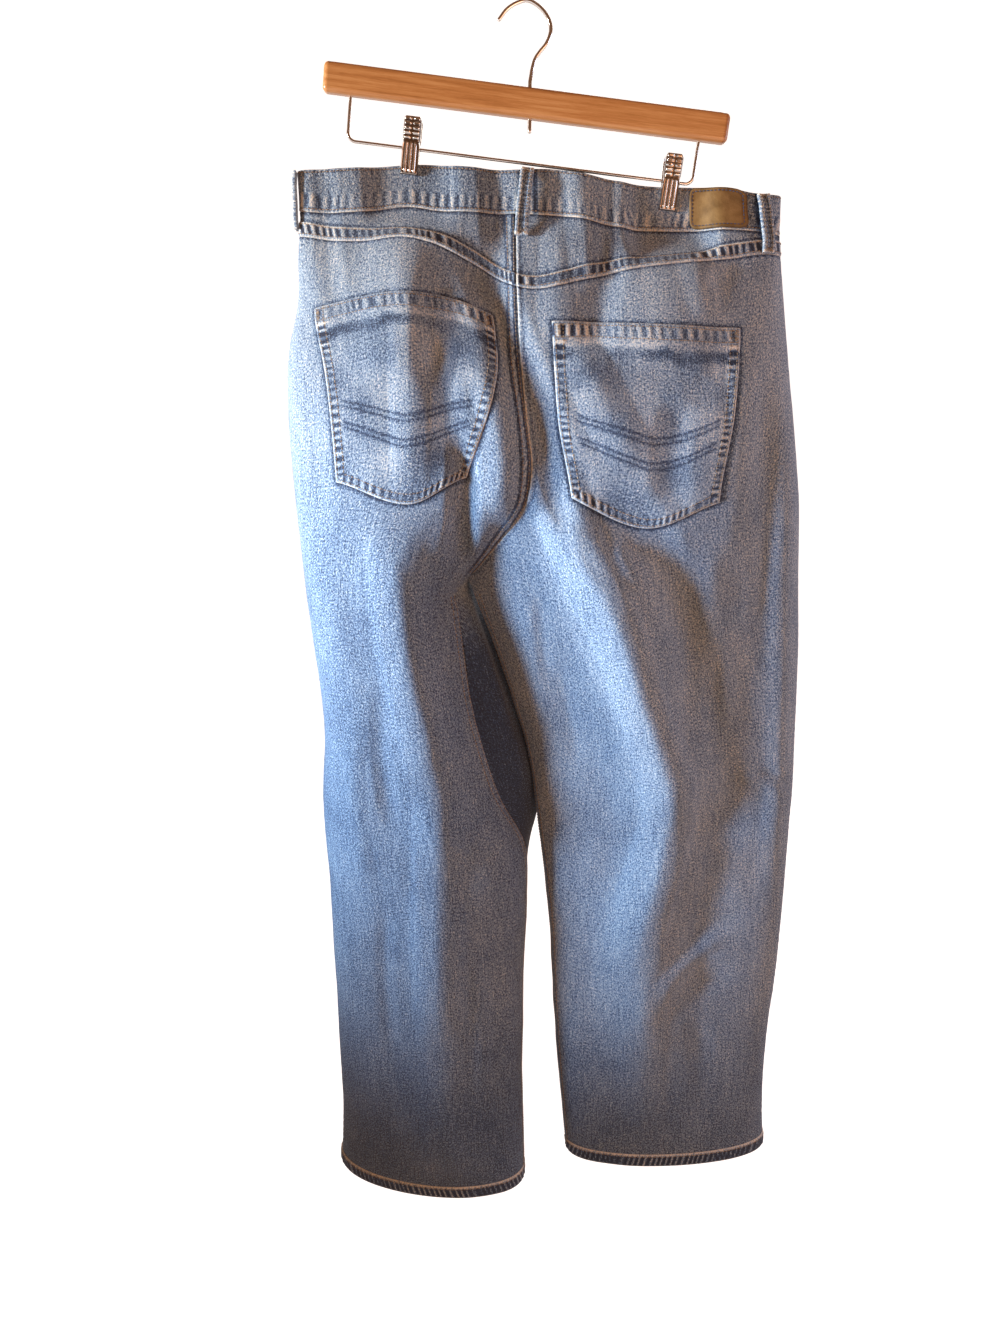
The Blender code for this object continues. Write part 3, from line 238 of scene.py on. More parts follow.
YOKE_SEAM = (
    (-0.21, -0.1787), (-0.17, -0.1862), (-0.148, -0.1876), (-0.113, -0.1868), (-0.087, -0.1938),
    (-0.055, -0.2105), (-0.018, -0.2325), (0.045, -0.2281), (0.08, -0.2214), (0.117, -0.2176),
    (0.17, -0.2136), (0.206, -0.2095), (0.222, -0.21),
)
# Both sides give the same height at the centre seam, so that their rows of points meet there.
POCKET_TOP = {
    LEFT: (
        (-0.235, -0.248), (-0.186, -0.243), (-0.149, -0.237), (-0.108, -0.236), (-0.07, -0.243),
        (-0.041, -0.256), (-0.02, -0.263),
    ),
    RIGHT: ((-0.016, -0.263), (0.011, -0.264), (0.091, -0.269), (0.171, -0.274), (0.235, -0.274)),
}
POCKET_BOTTOM = {
    LEFT: ((-0.235, -0.386), (-0.181, -0.392), (-0.115, -0.412), (-0.066, -0.392), (-0.03, -0.398)),
    RIGHT: ((0.0, -0.398), (0.022, -0.411), (0.09, -0.441), (0.154, -0.421), (0.245, -0.412)),
}
# The two long edges of each back pocket, and the lines that carry on from them: height, inner x, outer x.
POCKET_EDGES = {
    LEFT: (
        (-0.18, -0.044, -0.182), (-0.245, -0.041, -0.194), (-0.3, -0.037, -0.186), (-0.39, -0.066, -0.181),
        (-0.487, -0.11, -0.185), (-0.64, -0.098, -0.176), (-0.86, -0.08, -0.18), (-1.15, -0.088, -0.19),
    ),
    RIGHT: (
        (-0.18, 0.012, 0.172), (-0.266, 0.011, 0.1745), (-0.346, 0.014, 0.167), (-0.421, 0.024, 0.154),
        (-0.487, 0.02, 0.16), (-0.64, 0.05, 0.18), (-0.86, 0.07, 0.176), (-1.15, 0.07, 0.17),
    ),
}

# Folds: a hill (or a trough, below zero) along a line of x, height points. Sharp is 0 for a round hill and
# 1 for a tent.
Fold = namedtuple("Fold", "side face reach rise sharp points")
FOLDS = (
    # The deep trough from the waistband across the seat, the hill and the crescent under it.
    Fold(BOTH, "back", 0.026, -0.009, 0.0, ((-0.062, -0.18), (-0.029, -0.271), (0.016, -0.4))),
    Fold(BOTH, "back", 0.028, 0.005, 0.0, ((-0.035, -0.302), (-0.034, -0.378), (-0.04, -0.44))),
    Fold(LEFT, "back", 0.018, -0.011, 0.0, ((-0.068, -0.345), (-0.071, -0.421), (-0.08, -0.482))),
    # From the left clip, and down the left leg.
    Fold(LEFT, "back", 0.05, 0.009, 0.0, ((-0.106, -0.151), (-0.12, -0.241), (-0.128, -0.324))),
    Fold(
        LEFT, "back", 0.06, 0.014, 0.0,
        ((-0.13, -0.4), (-0.121, -0.499), (-0.112, -0.6), (-0.102, -0.691), (-0.112, -0.795)),
    ),
    Fold(
        LEFT, "back", 0.06, 0.011, 0.0,
        ((-0.11, -0.74), (-0.115, -0.904), (-0.122, -1.06), (-0.125, -1.15)),
    ),
    # From the right clip, and down the right leg.
    Fold(RIGHT, "back", 0.06, 0.006, 0.0, ((0.115, -0.181), (0.109, -0.248), (0.101, -0.314))),
    Fold(
        RIGHT, "back", 0.07, 0.022, 0.0,
        ((0.01, -0.4), (0.064, -0.507), (0.091, -0.603), (0.117, -0.693), (0.125, -0.76)),
    ),
    Fold(
        RIGHT, "back", 0.065, 0.016, 0.0,
        ((0.122, -0.7), (0.122, -0.787), (0.103, -0.85), (0.097, -0.94), (0.092, -1.1)),
    ),
    Fold(RIGHT, "back", 0.022, -0.006, 0.0, ((0.186, -0.3), (0.184, -0.477), (0.196, -0.693))),
    Fold(RIGHT, "back", 0.012, -0.004, 0.0, ((0.212, -0.687), (0.228, -0.7), (0.246, -0.708))),
    Fold(RIGHT, "back", 0.018, 0.004, 0.0, ((0.105, -0.935), (0.141, -0.893), (0.18, -0.864))),
    # The fronts: beside the fly, from the clips, and down the legs.
    Fold(BOTH, "front", 0.03, -0.008, 0.0, ((-0.06, -0.2), (-0.04, -0.3), (-0.03, -0.42))),
    Fold(RIGHT, "front", 0.06, 0.01, 0.0, ((0.11, -0.17), (0.1, -0.3), (0.09, -0.42))),
    Fold(LEFT, "front", 0.055, 0.009, 0.0, ((-0.105, -0.16), (-0.12, -0.28), (-0.125, -0.4))),
    Fold(RIGHT, "front", 0.06, 0.014, 0.0, ((0.08, -0.48), (0.1, -0.65), (0.11, -0.85), (0.11, -1.1))),
    Fold(
        LEFT, "front", 0.055, 0.01, 0.0,
        ((-0.13, -0.45), (-0.125, -0.65), (-0.12, -0.85), (-0.125, -1.12)),
    ),
    # Creases that lie on the larger folds.
    # The waistband's waves between the clips, which run down into the yokes.
    Fold(
        BOTH, "back", 0.02, -0.005, 0.3,
        ((-0.034, -0.09), (-0.032, -0.15), (-0.031, -0.205), (-0.036, -0.265)),
    ),
    Fold(RIGHT, "back", 0.018, 0.0038, 0.4, ((0.04, -0.09), (0.04, -0.15), (0.043, -0.2), (0.05, -0.25))),
    Fold(RIGHT, "back", 0.014, -0.003, 0.3, ((0.07, -0.09), (0.068, -0.15), (0.066, -0.21))),
    Fold(
        LEFT, "back", 0.016, -0.003, 0.3,
        ((-0.186, -0.09), (-0.184, -0.15), (-0.18, -0.215), (-0.172, -0.26)),
    ),
    # The seat: a rib beside the trough, the shaded hollow of the left pocket and the bulge by the seam.
    Fold(
        LEFT, "back", 0.02, 0.0035, 0.6,
        ((-0.104, -0.19), (-0.11, -0.25), (-0.113, -0.33), (-0.116, -0.42)),
    ),
    Fold(
        LEFT, "back", 0.022, -0.0045, 0.2,
        ((-0.093, -0.259), (-0.085, -0.309), (-0.08, -0.351), (-0.084, -0.4)),
    ),
    Fold(
        LEFT, "back", 0.016, 0.003, 0.5,
        ((-0.059, -0.268), (-0.046, -0.327), (-0.036, -0.38), (-0.04, -0.44)),
    ),
    Fold(LEFT, "back", 0.011, -0.0025, 0.5, ((-0.036, -0.425), (-0.046, -0.45), (-0.069, -0.478))),
    Fold(
        RIGHT, "back", 0.013, -0.004, 0.4,
        ((-0.01, -0.33), (0.002, -0.375), (0.012, -0.415), (0.028, -0.445)),
    ),
    Fold(
        RIGHT, "back", 0.014, 0.003, 0.5,
        ((-0.014, -0.385), (-0.004, -0.425), (0.02, -0.465), (0.046, -0.5)),
    ),
    # The yoke: a rib that the right clip throws, and the hollow after it.
    Fold(
        RIGHT, "back", 0.02, 0.0032, 0.7,
        ((0.022, -0.17), (0.02, -0.207), (0.016, -0.25), (0.021, -0.29)),
    ),
    Fold(RIGHT, "back", 0.022, -0.004, 0.2, ((0.066, -0.18), (0.06, -0.215), (0.05, -0.26), (0.046, -0.3))),
    Fold(RIGHT, "back", 0.018, 0.0022, 0.5, ((0.136, -0.195), (0.14, -0.235), (0.15, -0.275))),
    Fold(RIGHT, "back", 0.016, -0.0022, 0.3, ((0.18, -0.2), (0.168, -0.225), (0.15, -0.245))),
    # Across the right pocket and down its outer side.
    Fold(
        RIGHT, "back", 0.026, 0.004, 0.6,
        ((0.022, -0.28), (0.044, -0.313), (0.062, -0.352), (0.086, -0.391)),
    ),
    Fold(RIGHT, "back", 0.022, -0.003, 0.2, ((0.12, -0.33), (0.11, -0.375), (0.112, -0.43))),
    Fold(
        RIGHT, "back", 0.02, 0.0035, 0.6,
        ((0.178, -0.27), (0.178, -0.334), (0.18, -0.42), (0.187, -0.511), (0.192, -0.606)),
    ),
    Fold(RIGHT, "back", 0.016, -0.0045, 0.3, ((0.196, -0.3), (0.2, -0.42), (0.204, -0.52), (0.203, -0.62))),
    # Under the right pocket: long soft runs that fan out down the thigh.
    Fold(
        RIGHT, "back", 0.038, -0.0065, 0.1,
        ((0.04, -0.385), (0.066, -0.43), (0.1, -0.48), (0.13, -0.545), (0.148, -0.63), (0.16, -0.7)),
    ),
    Fold(RIGHT, "back", 0.018, 0.003, 0.5, ((0.15, -0.455), (0.152, -0.52), (0.146, -0.6), (0.152, -0.68))),
    Fold(RIGHT, "back", 0.014, 0.0022, 0.5, ((0.06, -0.45), (0.074, -0.476), (0.09, -0.492))),
    Fold(
        RIGHT, "back", 0.008, -0.0022, 0.6,
        ((0.0, -0.495), (-0.004, -0.514), (-0.002, -0.552), (0.002, -0.6)),
    ),
    Fold(RIGHT, "back", 0.01, 0.0016, 0.4, ((-0.02, -0.5), (-0.012, -0.56), (0.006, -0.64))),
    Fold(RIGHT, "back", 0.011, -0.0018, 0.4, ((0.01, -0.56), (0.022, -0.62), (0.03, -0.69))),
    Fold(
        RIGHT, "back", 0.05, -0.003, 0.0,
        (
            (0.0, -0.44), (0.016, -0.56), (0.034, -0.66), (0.046, -0.75), (0.036, -0.86), (0.03, -1.0),
            (0.03, -1.136),
        ),
    ),
    Fold(
        RIGHT, "back", 0.024, 0.009, 0.3,
        ((0.224, -0.26), (0.228, -0.4), (0.232, -0.56), (0.234, -0.7), (0.23, -0.86)),
    ),
    # The right leg's ridge, sharper than the fold it lies on, and the small slanting folds below the knee.
    Fold(
        RIGHT, "back", 0.03, 0.01, 0.9,
        (
            (0.004, -0.37), (0.018, -0.425), (0.038, -0.482), (0.066, -0.539), (0.087, -0.606),
            (0.104, -0.655), (0.113, -0.7),
        ),
    ),
    Fold(
        RIGHT, "back", 0.034, 0.0095, 0.9,
        ((0.102, -0.64), (0.116, -0.695), (0.118, -0.735), (0.106, -0.782), (0.09, -0.852), (0.08, -0.93)),
    ),
    Fold(RIGHT, "back", 0.04, -0.0035, 0.1, ((0.168, -0.64), (0.17, -0.72), (0.156, -0.8), (0.142, -0.89))),
    Fold(RIGHT, "back", 0.03, 0.004, 0.6, ((0.1, -0.88), (0.094, -0.96), (0.092, -1.036), (0.1, -1.11))),
    Fold(
        RIGHT, "back", 0.02, -0.0022, 0.2,
        ((0.1, -0.925), (0.137, -0.88), (0.166, -0.856), (0.206, -0.846)),
    ),
    Fold(RIGHT, "back", 0.022, -0.0022, 0.2, ((0.092, -0.978), (0.146, -0.93), (0.196, -0.905))),
    Fold(RIGHT, "back", 0.012, 0.002, 0.4, ((0.19, -0.69), (0.212, -0.7), (0.236, -0.716))),
    Fold(RIGHT, "back", 0.02, -0.003, 0.3, ((0.15, -0.96), (0.158, -1.03), (0.152, -1.11))),
    # The left leg's ridge and the shallow runs beside it.
    Fold(
        LEFT, "back", 0.034, 0.008, 0.9,
        ((-0.134, -0.428), (-0.13, -0.5), (-0.124, -0.569), (-0.112, -0.629), (-0.11, -0.7)),
    ),
    Fold(
        LEFT, "back", 0.032, 0.007, 0.9,
        ((-0.104, -0.66), (-0.107, -0.73), (-0.114, -0.82), (-0.117, -0.91), (-0.117, -1.0)),
    ),
    Fold(LEFT, "back", 0.028, 0.0035, 0.6, ((-0.116, -0.96), (-0.116, -1.04), (-0.124, -1.12))),
    Fold(LEFT, "back", 0.014, -0.0025, 0.3, ((-0.15, -0.56), (-0.158, -0.64), (-0.152, -0.73))),
    Fold(LEFT, "back", 0.016, 0.0022, 0.4, ((-0.182, -0.6), (-0.19, -0.7), (-0.184, -0.81))),
    Fold(LEFT, "back", 0.013, -0.0022, 0.3, ((-0.165, -0.8), (-0.172, -0.9), (-0.168, -0.99))),
    Fold(LEFT, "back", 0.012, 0.0018, 0.4, ((-0.078, -0.85), (-0.074, -0.95), (-0.082, -1.06))),
    Fold(LEFT, "back", 0.012, -0.002, 0.4, ((-0.205, -0.3), (-0.198, -0.38), (-0.206, -0.46))),
    # The fronts: whiskers at the thighs, folds behind the knees and long runs to the hems.
    Fold(LEFT, "front", 0.014, 0.0025, 0.5, ((-0.19, -0.33), (-0.14, -0.37), (-0.08, -0.395))),
    Fold(LEFT, "front", 0.014, 0.0022, 0.5, ((-0.195, -0.38), (-0.15, -0.415), (-0.1, -0.432))),
    Fold(LEFT, "front", 0.016, -0.0025, 0.3, ((-0.2, -0.43), (-0.15, -0.47), (-0.11, -0.482))),
    Fold(RIGHT, "front", 0.014, 0.0025, 0.5, ((0.205, -0.33), (0.14, -0.365), (0.06, -0.385))),
    Fold(RIGHT, "front", 0.014, 0.0022, 0.5, ((0.215, -0.385), (0.15, -0.425), (0.07, -0.445))),
    Fold(RIGHT, "front", 0.016, -0.0025, 0.3, ((0.215, -0.44), (0.15, -0.48), (0.09, -0.5))),
    Fold(LEFT, "front", 0.022, 0.0035, 0.6, ((-0.17, -0.52), (-0.165, -0.64), (-0.16, -0.78))),
    Fold(RIGHT, "front", 0.022, 0.0035, 0.6, ((0.165, -0.54), (0.16, -0.66), (0.165, -0.8))),
    Fold(LEFT, "front", 0.014, -0.0025, 0.3, ((-0.19, -0.7), (-0.14, -0.735), (-0.09, -0.728))),
    Fold(RIGHT, "front", 0.014, -0.0025, 0.3, ((0.2, -0.715), (0.14, -0.745), (0.07, -0.735))),
    Fold(LEFT, "front", 0.02, -0.003, 0.3, ((-0.15, -0.85), (-0.145, -0.98), (-0.155, -1.11))),
    Fold(RIGHT, "front", 0.02, -0.003, 0.3, ((0.15, -0.85), (0.155, -0.98), (0.15, -1.1))),
)
# The clips press the two walls of the waist together: x of each clip and height of its foot.
CLIPS_AT_WAIST = ((-0.1085, -0.137), (0.1195, -0.173))
PINCHED_HALF = 0.0033
PINCH_REACH = 0.038
PINCH_FADE = 0.055

# Belt loops: side, face, x at the top and at the foot, height of the top and of the foot.
Loop = namedtuple("Loop", "side face top_x foot_x top foot stand_off")
BELT_LOOPS = {
    "centre_back": Loop(RIGHT, "back", -0.0045, -0.0120, -0.1312, -0.1890, 0.0040),
    "left_side": Loop(LEFT, "back", -0.2600, -0.2600, -0.1250, -0.1730, 0.0012),
    "right_side": Loop(RIGHT, "back", 0.2025, 0.2045, -0.1585, -0.2095, 0.0030),
    "left_front": Loop(LEFT, "front", -0.0580, -0.0580, -0.1290, -0.1790, 0.0030),
    "right_front": Loop(RIGHT, "front", 0.0620, 0.0620, -0.1420, -0.1920, 0.0030),
}
# The row of a front that passes the foot of the pocket's mouth: x, height.
MOUTH_LEVEL = {
    LEFT: ((-0.235, -0.238), (-0.195, -0.238), (-0.1, -0.247), (0.004, -0.26)),
    RIGHT: ((0.004, -0.26), (0.1, -0.268), (0.205, -0.2725), (0.235, -0.2725)),
}

PATCH_X = (0.1385, 0.1880)
ZIP_HEIGHTS = (-0.178, -0.300)
BUTTON_FROM_END = 0.0130
CHEVRONS = (0.058, 0.063, 0.078, 0.083)  # of the pockets' plain design, above the pocket's foot
LEG_PAINTED_LIGHT = {LEFT: -0.12, RIGHT: 0.08}  # painted light and shade on the legs' backs
PAST_CROTCH = -0.498

# Sewing: how far each row runs from the edge that it follows.
BAND_ROW_LOW, BAND_ROW_TOP = 0.0026, 0.0022
YOKE_ROWS = (0.0026, 0.0108)
SEAM_ROWS = (0.0018, 0.0080)
POCKET_ROWS = (0.0024, 0.0088)
POCKET_HEM_ROWS = (0.0030, 0.0136)
MOUTH_ROWS = (0.0026, 0.0086)
FLY_ROWS = (0.0300, 0.0335)
FLY_ROWS_END = -0.290
PLACKET_ROWS = (0.0026, 0.0078)
HEM_ROW = 0.0024
LOOP_ROW = 0.0030
PATCH_ROW = 0.0028
PATCH_CORNER = 0.0065
TOOTH_PITCH = 0.0021
ZIP_SLIDER = ((0.0045, 0.0), (0.0052, 0.0022), (0.0048, 0.0050), (0.0036, 0.0085), (0.0028, 0.0100))
BUTTON = (
    (0.0001, 0.0000), (0.0046, 0.0000), (0.0047, 0.0014), (0.0078, 0.0017), (0.0085, 0.0020),
    (0.0087, 0.0024), (0.0085, 0.0029), (0.0078, 0.0033), (0.0069, 0.0032), (0.0063, 0.0028),
    (0.0058, 0.0025), (0.0038, 0.0026), (0.0030, 0.0028), (0.0024, 0.0032), (0.0014, 0.0034),
    (0.0001, 0.0034),
)

# The denim's noises: millimetres across and down, detail, roughness, and how much each shows.
Grain = namedtuple("Grain", "across down detail roughness gain")
DENIM_GRAINS = (
    Grain(1.5, 2.0, 4.0, 0.75, 2.5),  # pebbles
    Grain(0.8, 1.0, 2.0, 0.60, 0.9),  # single threads
    Grain(1.5, 24.0, 2.0, 0.60, 0.5),  # streaks of the warp
    Grain(5.0, 80.0, 3.0, 0.60, 0.16),  # slubs
    Grain(46.0, 70.0, 3.0, 0.50, 0.25),  # clouds of the wash
)
WEAR_AND_SHADE_GAIN = 0.42
TWILL_TURN = 0.42

# The paper: how far it runs forward, back, up and to each side, and its bend.
SWEEP_FRONT, SWEEP_BACK, SWEEP_HIGH, SWEEP_WIDE, SWEEP_BEND = -4.0, 3.0, 4.5, 5.0, 1.2
# The lights: metres, and the cone of a spotlight in degrees.
Lamp = namedtuple("Lamp", "name place aim size cone blend")
LIGHTS = (
    Lamp("key", (-1.82, -0.83, -0.60), (0.0, -0.05, -0.615), 0.36, 24, 0.71),
    Lamp("seat", (-1.96, -0.42, -0.06), (0.0, -0.05, -0.235), 0.26, 29, 0.70),
    Lamp("fill", (0.70, -1.40, -0.50), (0.03, 0.0, -0.55), 1.0, 0, 0),
    Lamp("rim", (1.50, -0.16, -0.20), (0.10, 0.0, -0.50), 0.6, 0, 0),
    Lamp("back", (0.40, 1.60, 0.50), (0.0, 0.0, -0.50), 1.2, 0, 0),
)


def through(knots, values, at):
    """A smooth curve through the values: cubic between knots, with slopes read from the neighbours."""
    knots, values = np.asarray(knots, float), np.asarray(values, float)
    if knots[0] > knots[-1]:
        knots, values = knots[::-1], values[::-1]
    slopes = np.gradient(values, knots)
    low = np.clip(np.searchsorted(knots, at) - 1, 0, len(knots) - 2)
    step = knots[low + 1] - knots[low]
    p = np.clip((at - knots[low]) / step, 0, 1)
    from_low = (1 + 2 * p) * (1 - p) ** 2 * values[low] + p * (1 - p) ** 2 * step * slopes[low]
    from_high = p * p * (3 - 2 * p) * values[low + 1] - p * p * (1 - p) * step * slopes[low + 1]
    return from_low + from_high


def line_at(line, height):
    """x and y of a seam line at a height."""
    heights, xs, ys = zip(*line)
    return through(heights, xs, height), through(heights, ys, height)


def across(line, x):
    """Height of an edge that runs across the cloth, at x."""
    xs, heights = zip(*line)
    return through(xs, heights, x)


def soft_step(p):
    """0 below 0, 1 above 1, and 3p^2 - 2p^3 between."""
    p = np.clip(p, 0, 1)
    return p * p * (3 - 2 * p)


def unit(vectors):
    """The vectors at length 1."""
    return vectors / np.maximum(np.linalg.norm(vectors, axis=-1, keepdims=True), 1e-12)


def noise_1(s, pitch, seed):
    """Noise from -1 to 1 along a length: seeded random values a pitch apart, joined by soft steps."""
    values = np.random.default_rng(seed).uniform(-1, 1, 2048)
    at = np.asarray(s, float) / pitch + 700
    low = np.floor(at).astype(int)
    p = soft_step(at - low)
    return values[low % 2048] * (1 - p) + values[(low + 1) % 2048] * p


def noise_2(u, v, pitch, seed):
    """Noise from -1 to 1 over a face: seeded random values on a square lattice, joined by soft steps."""
    values = np.random.default_rng(seed).uniform(-1, 1, (256, 256))
    u, v = np.asarray(u, float) / pitch + 90, np.asarray(v, float) / pitch + 90
    i, j = np.floor(u).astype(int), np.floor(v).astype(int)
    p, q = soft_step(u - i), soft_step(v - j)
    i, j = i % 256, j % 256
    near = values[i, j] * (1 - p) + values[(i + 1) % 256, j] * p
    far = values[i, (j + 1) % 256] * (1 - p) + values[(i + 1) % 256, (j + 1) % 256] * p
    return near * (1 - q) + far * q


def pucker(s, pitch, seed):
    """A gathered seam from -1 to 1: a cosine along the seam whose phase wanders and whose size varies."""
    phase = s / pitch + 0.55 * noise_1(s, 2.3 * pitch, seed)
    size = 0.65 + 0.35 * noise_1(s, 3.1 * pitch, seed + 1)
    return size * np.cos(2 * math.pi * phase)


def fold_rise(fold, x, height):
    """How far a fold lifts the cloth. Across its line it is a cosine hill, or as sharp nears 1 a tent with
    a small round top, and it fades over a quarter of its length at each end."""
    knots = np.arange(len(fold.points))
    along = np.linspace(0, knots[-1], 6 * len(knots))
    line_x, line_z = (through(knots, [p[k] for p in fold.points], along) for k in (0, 1))
    lifted = np.zeros(np.shape(x))
    near = (x > line_x.min() - fold.reach) & (x < line_x.max() + fold.reach)
    near &= (height > line_z.min() - fold.reach) & (height < line_z.max() + fold.reach)
    x, height = x[near], height[near]
    best = np.full(x.shape, np.inf)
    share = np.zeros(x.shape)
    last = len(along) - 1
    for i in range(last):
        dx, dz = line_x[i + 1] - line_x[i], line_z[i + 1] - line_z[i]
        p = np.clip(((x - line_x[i]) * dx + (height - line_z[i]) * dz) / (dx * dx + dz * dz), 0, 1)
        away = np.hypot(x - line_x[i] - p * dx, height - line_z[i] - p * dz)
        share = np.where(away < best, (i + p) / last, share)
        best = np.minimum(best, away)
    p = np.clip(best / fold.reach, 0, 1)
    hill = (1 + np.cos(math.pi * p)) / 2
    foot = math.sqrt(1 + TENT_TOP**2)
    tent = (foot - np.sqrt(p * p + TENT_TOP**2)) / (foot - TENT_TOP)
    hill = hill * (1 - fold.sharp) + tent * soft_step((1 - p) / 0.35) * fold.sharp
    lifted[near] = fold.rise * hill * soft_step(share / 0.25) * soft_step((1 - share) / 0.25)
    return lifted


def inner_edge(side, face, height):
    """x and y of the inner edge of a side: a centre seam above the crotch, the inside leg seam below it."""
    above = line_at(CENTRE_BACK if face == "back" else CENTRE_FRONT, height)
    below = line_at(INSIDE_LEG[side], height)
    over = height >= CROTCH
    return np.where(over, above[0], below[0]) + side * GAP / 2, np.where(over, above[1], below[1])


def inner_drift(side, face, height):
    """The inner edge averaged over some height, so that the turn at the crotch stays beside the seam."""
    steps = np.linspace(-DRIFT_REACH, DRIFT_REACH, len(DRIFT_WEIGHTS))
    near = [inner_edge(side, face, height + step) for step in steps]
    return tuple(np.average([edge[k] for edge in near], axis=0, weights=DRIFT_WEIGHTS) for k in (0, 1))


def arc(side, face, u, height):
    """x and y on one face before its folds, for u from 0 at the inner edge to 1 at the outer seam: a cubic
    Bezier curve whose handles lean and reach as the section table says."""
    out = -1 if face == "back" else 1
    rows = SECTIONS[side]
    heights = [row.height for row in rows]
    lean = np.radians(through(heights, [getattr(row, face + "_lean") for row in rows], height))
    reach_in = through(heights, [getattr(row, face + "_in") for row in rows], height)
    reach_out = through(heights, [getattr(row, face + "_out") for row in rows], height)
    x0, y0 = inner_edge(side, face, height)
    x3, y3 = line_at(OUTER_SEAM[side], height)
    drift_x, drift_y = inner_drift(side, face, height)
    drifted = soft_step(u / DRIFT_FULL)
    x0, y0 = x0 + (drift_x - x0) * drifted, y0 + (drift_y - y0) * drifted
    x1, y1 = drift_x + side * reach_in * np.sin(lean), drift_y + out * reach_in * np.cos(lean)
    y2 = y3 + out * reach_out
    a, b, c, d = (1 - u) ** 3, 3 * u * (1 - u) ** 2, 3 * u * u * (1 - u), u**3
    return a * x0 + b * x1 + (c + d) * x3, a * y0 + b * y1 + c * y2 + d * y3


def pressed(side, x, y, height):
    """Keeps a thigh on its own side of the line where the legs meet, flattened over a few millimetres."""
    heights, xs = zip(*LEGS_MEET)
    grown = soft_step((CROTCH - height) / CROTCH_CALM)
    meet = through(heights, xs, height) + LEGS_MEET_LEAN * grown * np.clip(y, *LEGS_MEET_DEPTH)
    soft = np.clip(0.06 * (CROTCH - height), 0.0001, LEGS_MEET_SOFT)
    room = side * (x - meet) / soft
    flat = meet + side * (soft * np.logaddexp(0, room) + GAP / 2)
    return np.where((height < CROTCH) & (room < 30), flat, x)


def pinched(y, x, height, out):
    """Draws a face in to a flat place where a clip holds the waistband."""
    for clip_x, foot in CLIPS_AT_WAIST:
        beside = np.exp(-(((x - clip_x) / PINCH_REACH) ** 6))
        hold = beside * soft_step(1 - (foot - height) / PINCH_FADE)
        y = y + (out * PINCHED_HALF - y) * hold
    return y


def flat_x(side, around, height):
    """x of the cloth, which its folds don't move."""
    around, height = np.broadcast_arrays(np.asarray(around, float), np.asarray(height, float))
    back = arc(side, "back", np.clip(around, 0, 1), height)
    front = arc(side, "front", np.clip(2 - around, 0, 1), height)
    x, y = (np.where(around <= 1, back[k], front[k]) for k in (0, 1))
    return pressed(side, x, y, height)


def cloth(side, around, height):
    """Points of the cloth's outer face. The module's docstring says what around and height are."""
    around, height = np.broadcast_arrays(np.asarray(around, float), np.asarray(height, float))
    found = []
    for face, u in (("back", np.clip(around, 0, 1)), ("front", np.clip(2 - around, 0, 1))):
        out = -1 if face == "back" else 1
        x, y = arc(side, face, u, height)
        fade = 1 - u**SEAM_HOLD
        fade = fade * (1 - (1 - u) ** SEAM_HOLD * soft_step((CROTCH + CROTCH_CALM - height) / CROTCH_CALM))
        for fold in FOLDS:
            if fold.side in (side, BOTH) and fold.face == face:
                y = y + out * fade * fold_rise(fold, x, height)
        found.append((x, y))
    x, y = (np.where(around <= 1, found[0][k], found[1][k]) for k in (0, 1))
    y = pinched(y, x, height, np.where(around <= 1, -1, 1))
    return np.stack([pressed(side, x, y, height), y, height], axis=-1)


def moved(side, around, height, metres):
    """The around value that lies some metres along the line from another one."""
    step = 0.002 * np.sign(metres)
    stretch = np.linalg.norm(cloth(side, around + step, height) - cloth(side, around, height), axis=-1)
    return around + metres / (stretch / abs(step))


def around_at_x(side, x, height, face="back"):
    """The around value on one face that has this x, by halving."""
    low = np.full(np.shape(x), 0.0 if face == "back" else 2.0)
    high = np.full(np.shape(x), 1.0 if face == "back" else 1 + 1e-6)
    for _ in range(22):
        middle = (low + high) / 2
        short = side * (flat_x(side, middle, height) - x) < 0
        low, high = np.where(short, middle, low), np.where(short, high, middle)
    return (low + high) / 2


def blocks(stops, counts, powers=None):
    """Values inside each block between the stops, which may be arrays. A block's power above 1 crowds them
    towards its first stop, and below -1 towards its last."""
    parts = [stops[0][None]]
    for low, high, count, power in zip(stops, stops[1:], counts, powers or (1,) * len(counts)):
        share = np.arange(1, count + 1) / count
        share = share**power if power > 0 else 1 - (1 - share) ** -power
        parts.append(low + (high - low) * share.reshape((-1,) + (1,) * np.ndim(low)))
    return np.concatenate(parts)


def level(edge, x):
    """Height of an edge at x: the edge is a table, or one height all the way."""
    return across(edge, x) if isinstance(edge, tuple) else np.zeros(np.shape(x)) + edge


def lowered(edge, by):
    """An edge moved down by some metres."""
    return tuple((x, height - by) for x, height in edge)


def grid(side, edges, counts, around_of, powers=None):
    """Cloth points whose rows follow the edges; around_of gives the columns at each height."""
    height = blocks([level(edge, np.full(1, side * 0.1)) for edge in edges], counts, powers)
    for _ in range(4):
        around = around_of(height)
        height = np.broadcast_to(height, around.shape)
        x = flat_x(side, around, height)
        stops = np.cumsum((0,) + tuple(counts))
        height = blocks([level(edge, x[row]) for edge, row in zip(edges, stops)], counts, powers)
    return cloth(side, around, height)


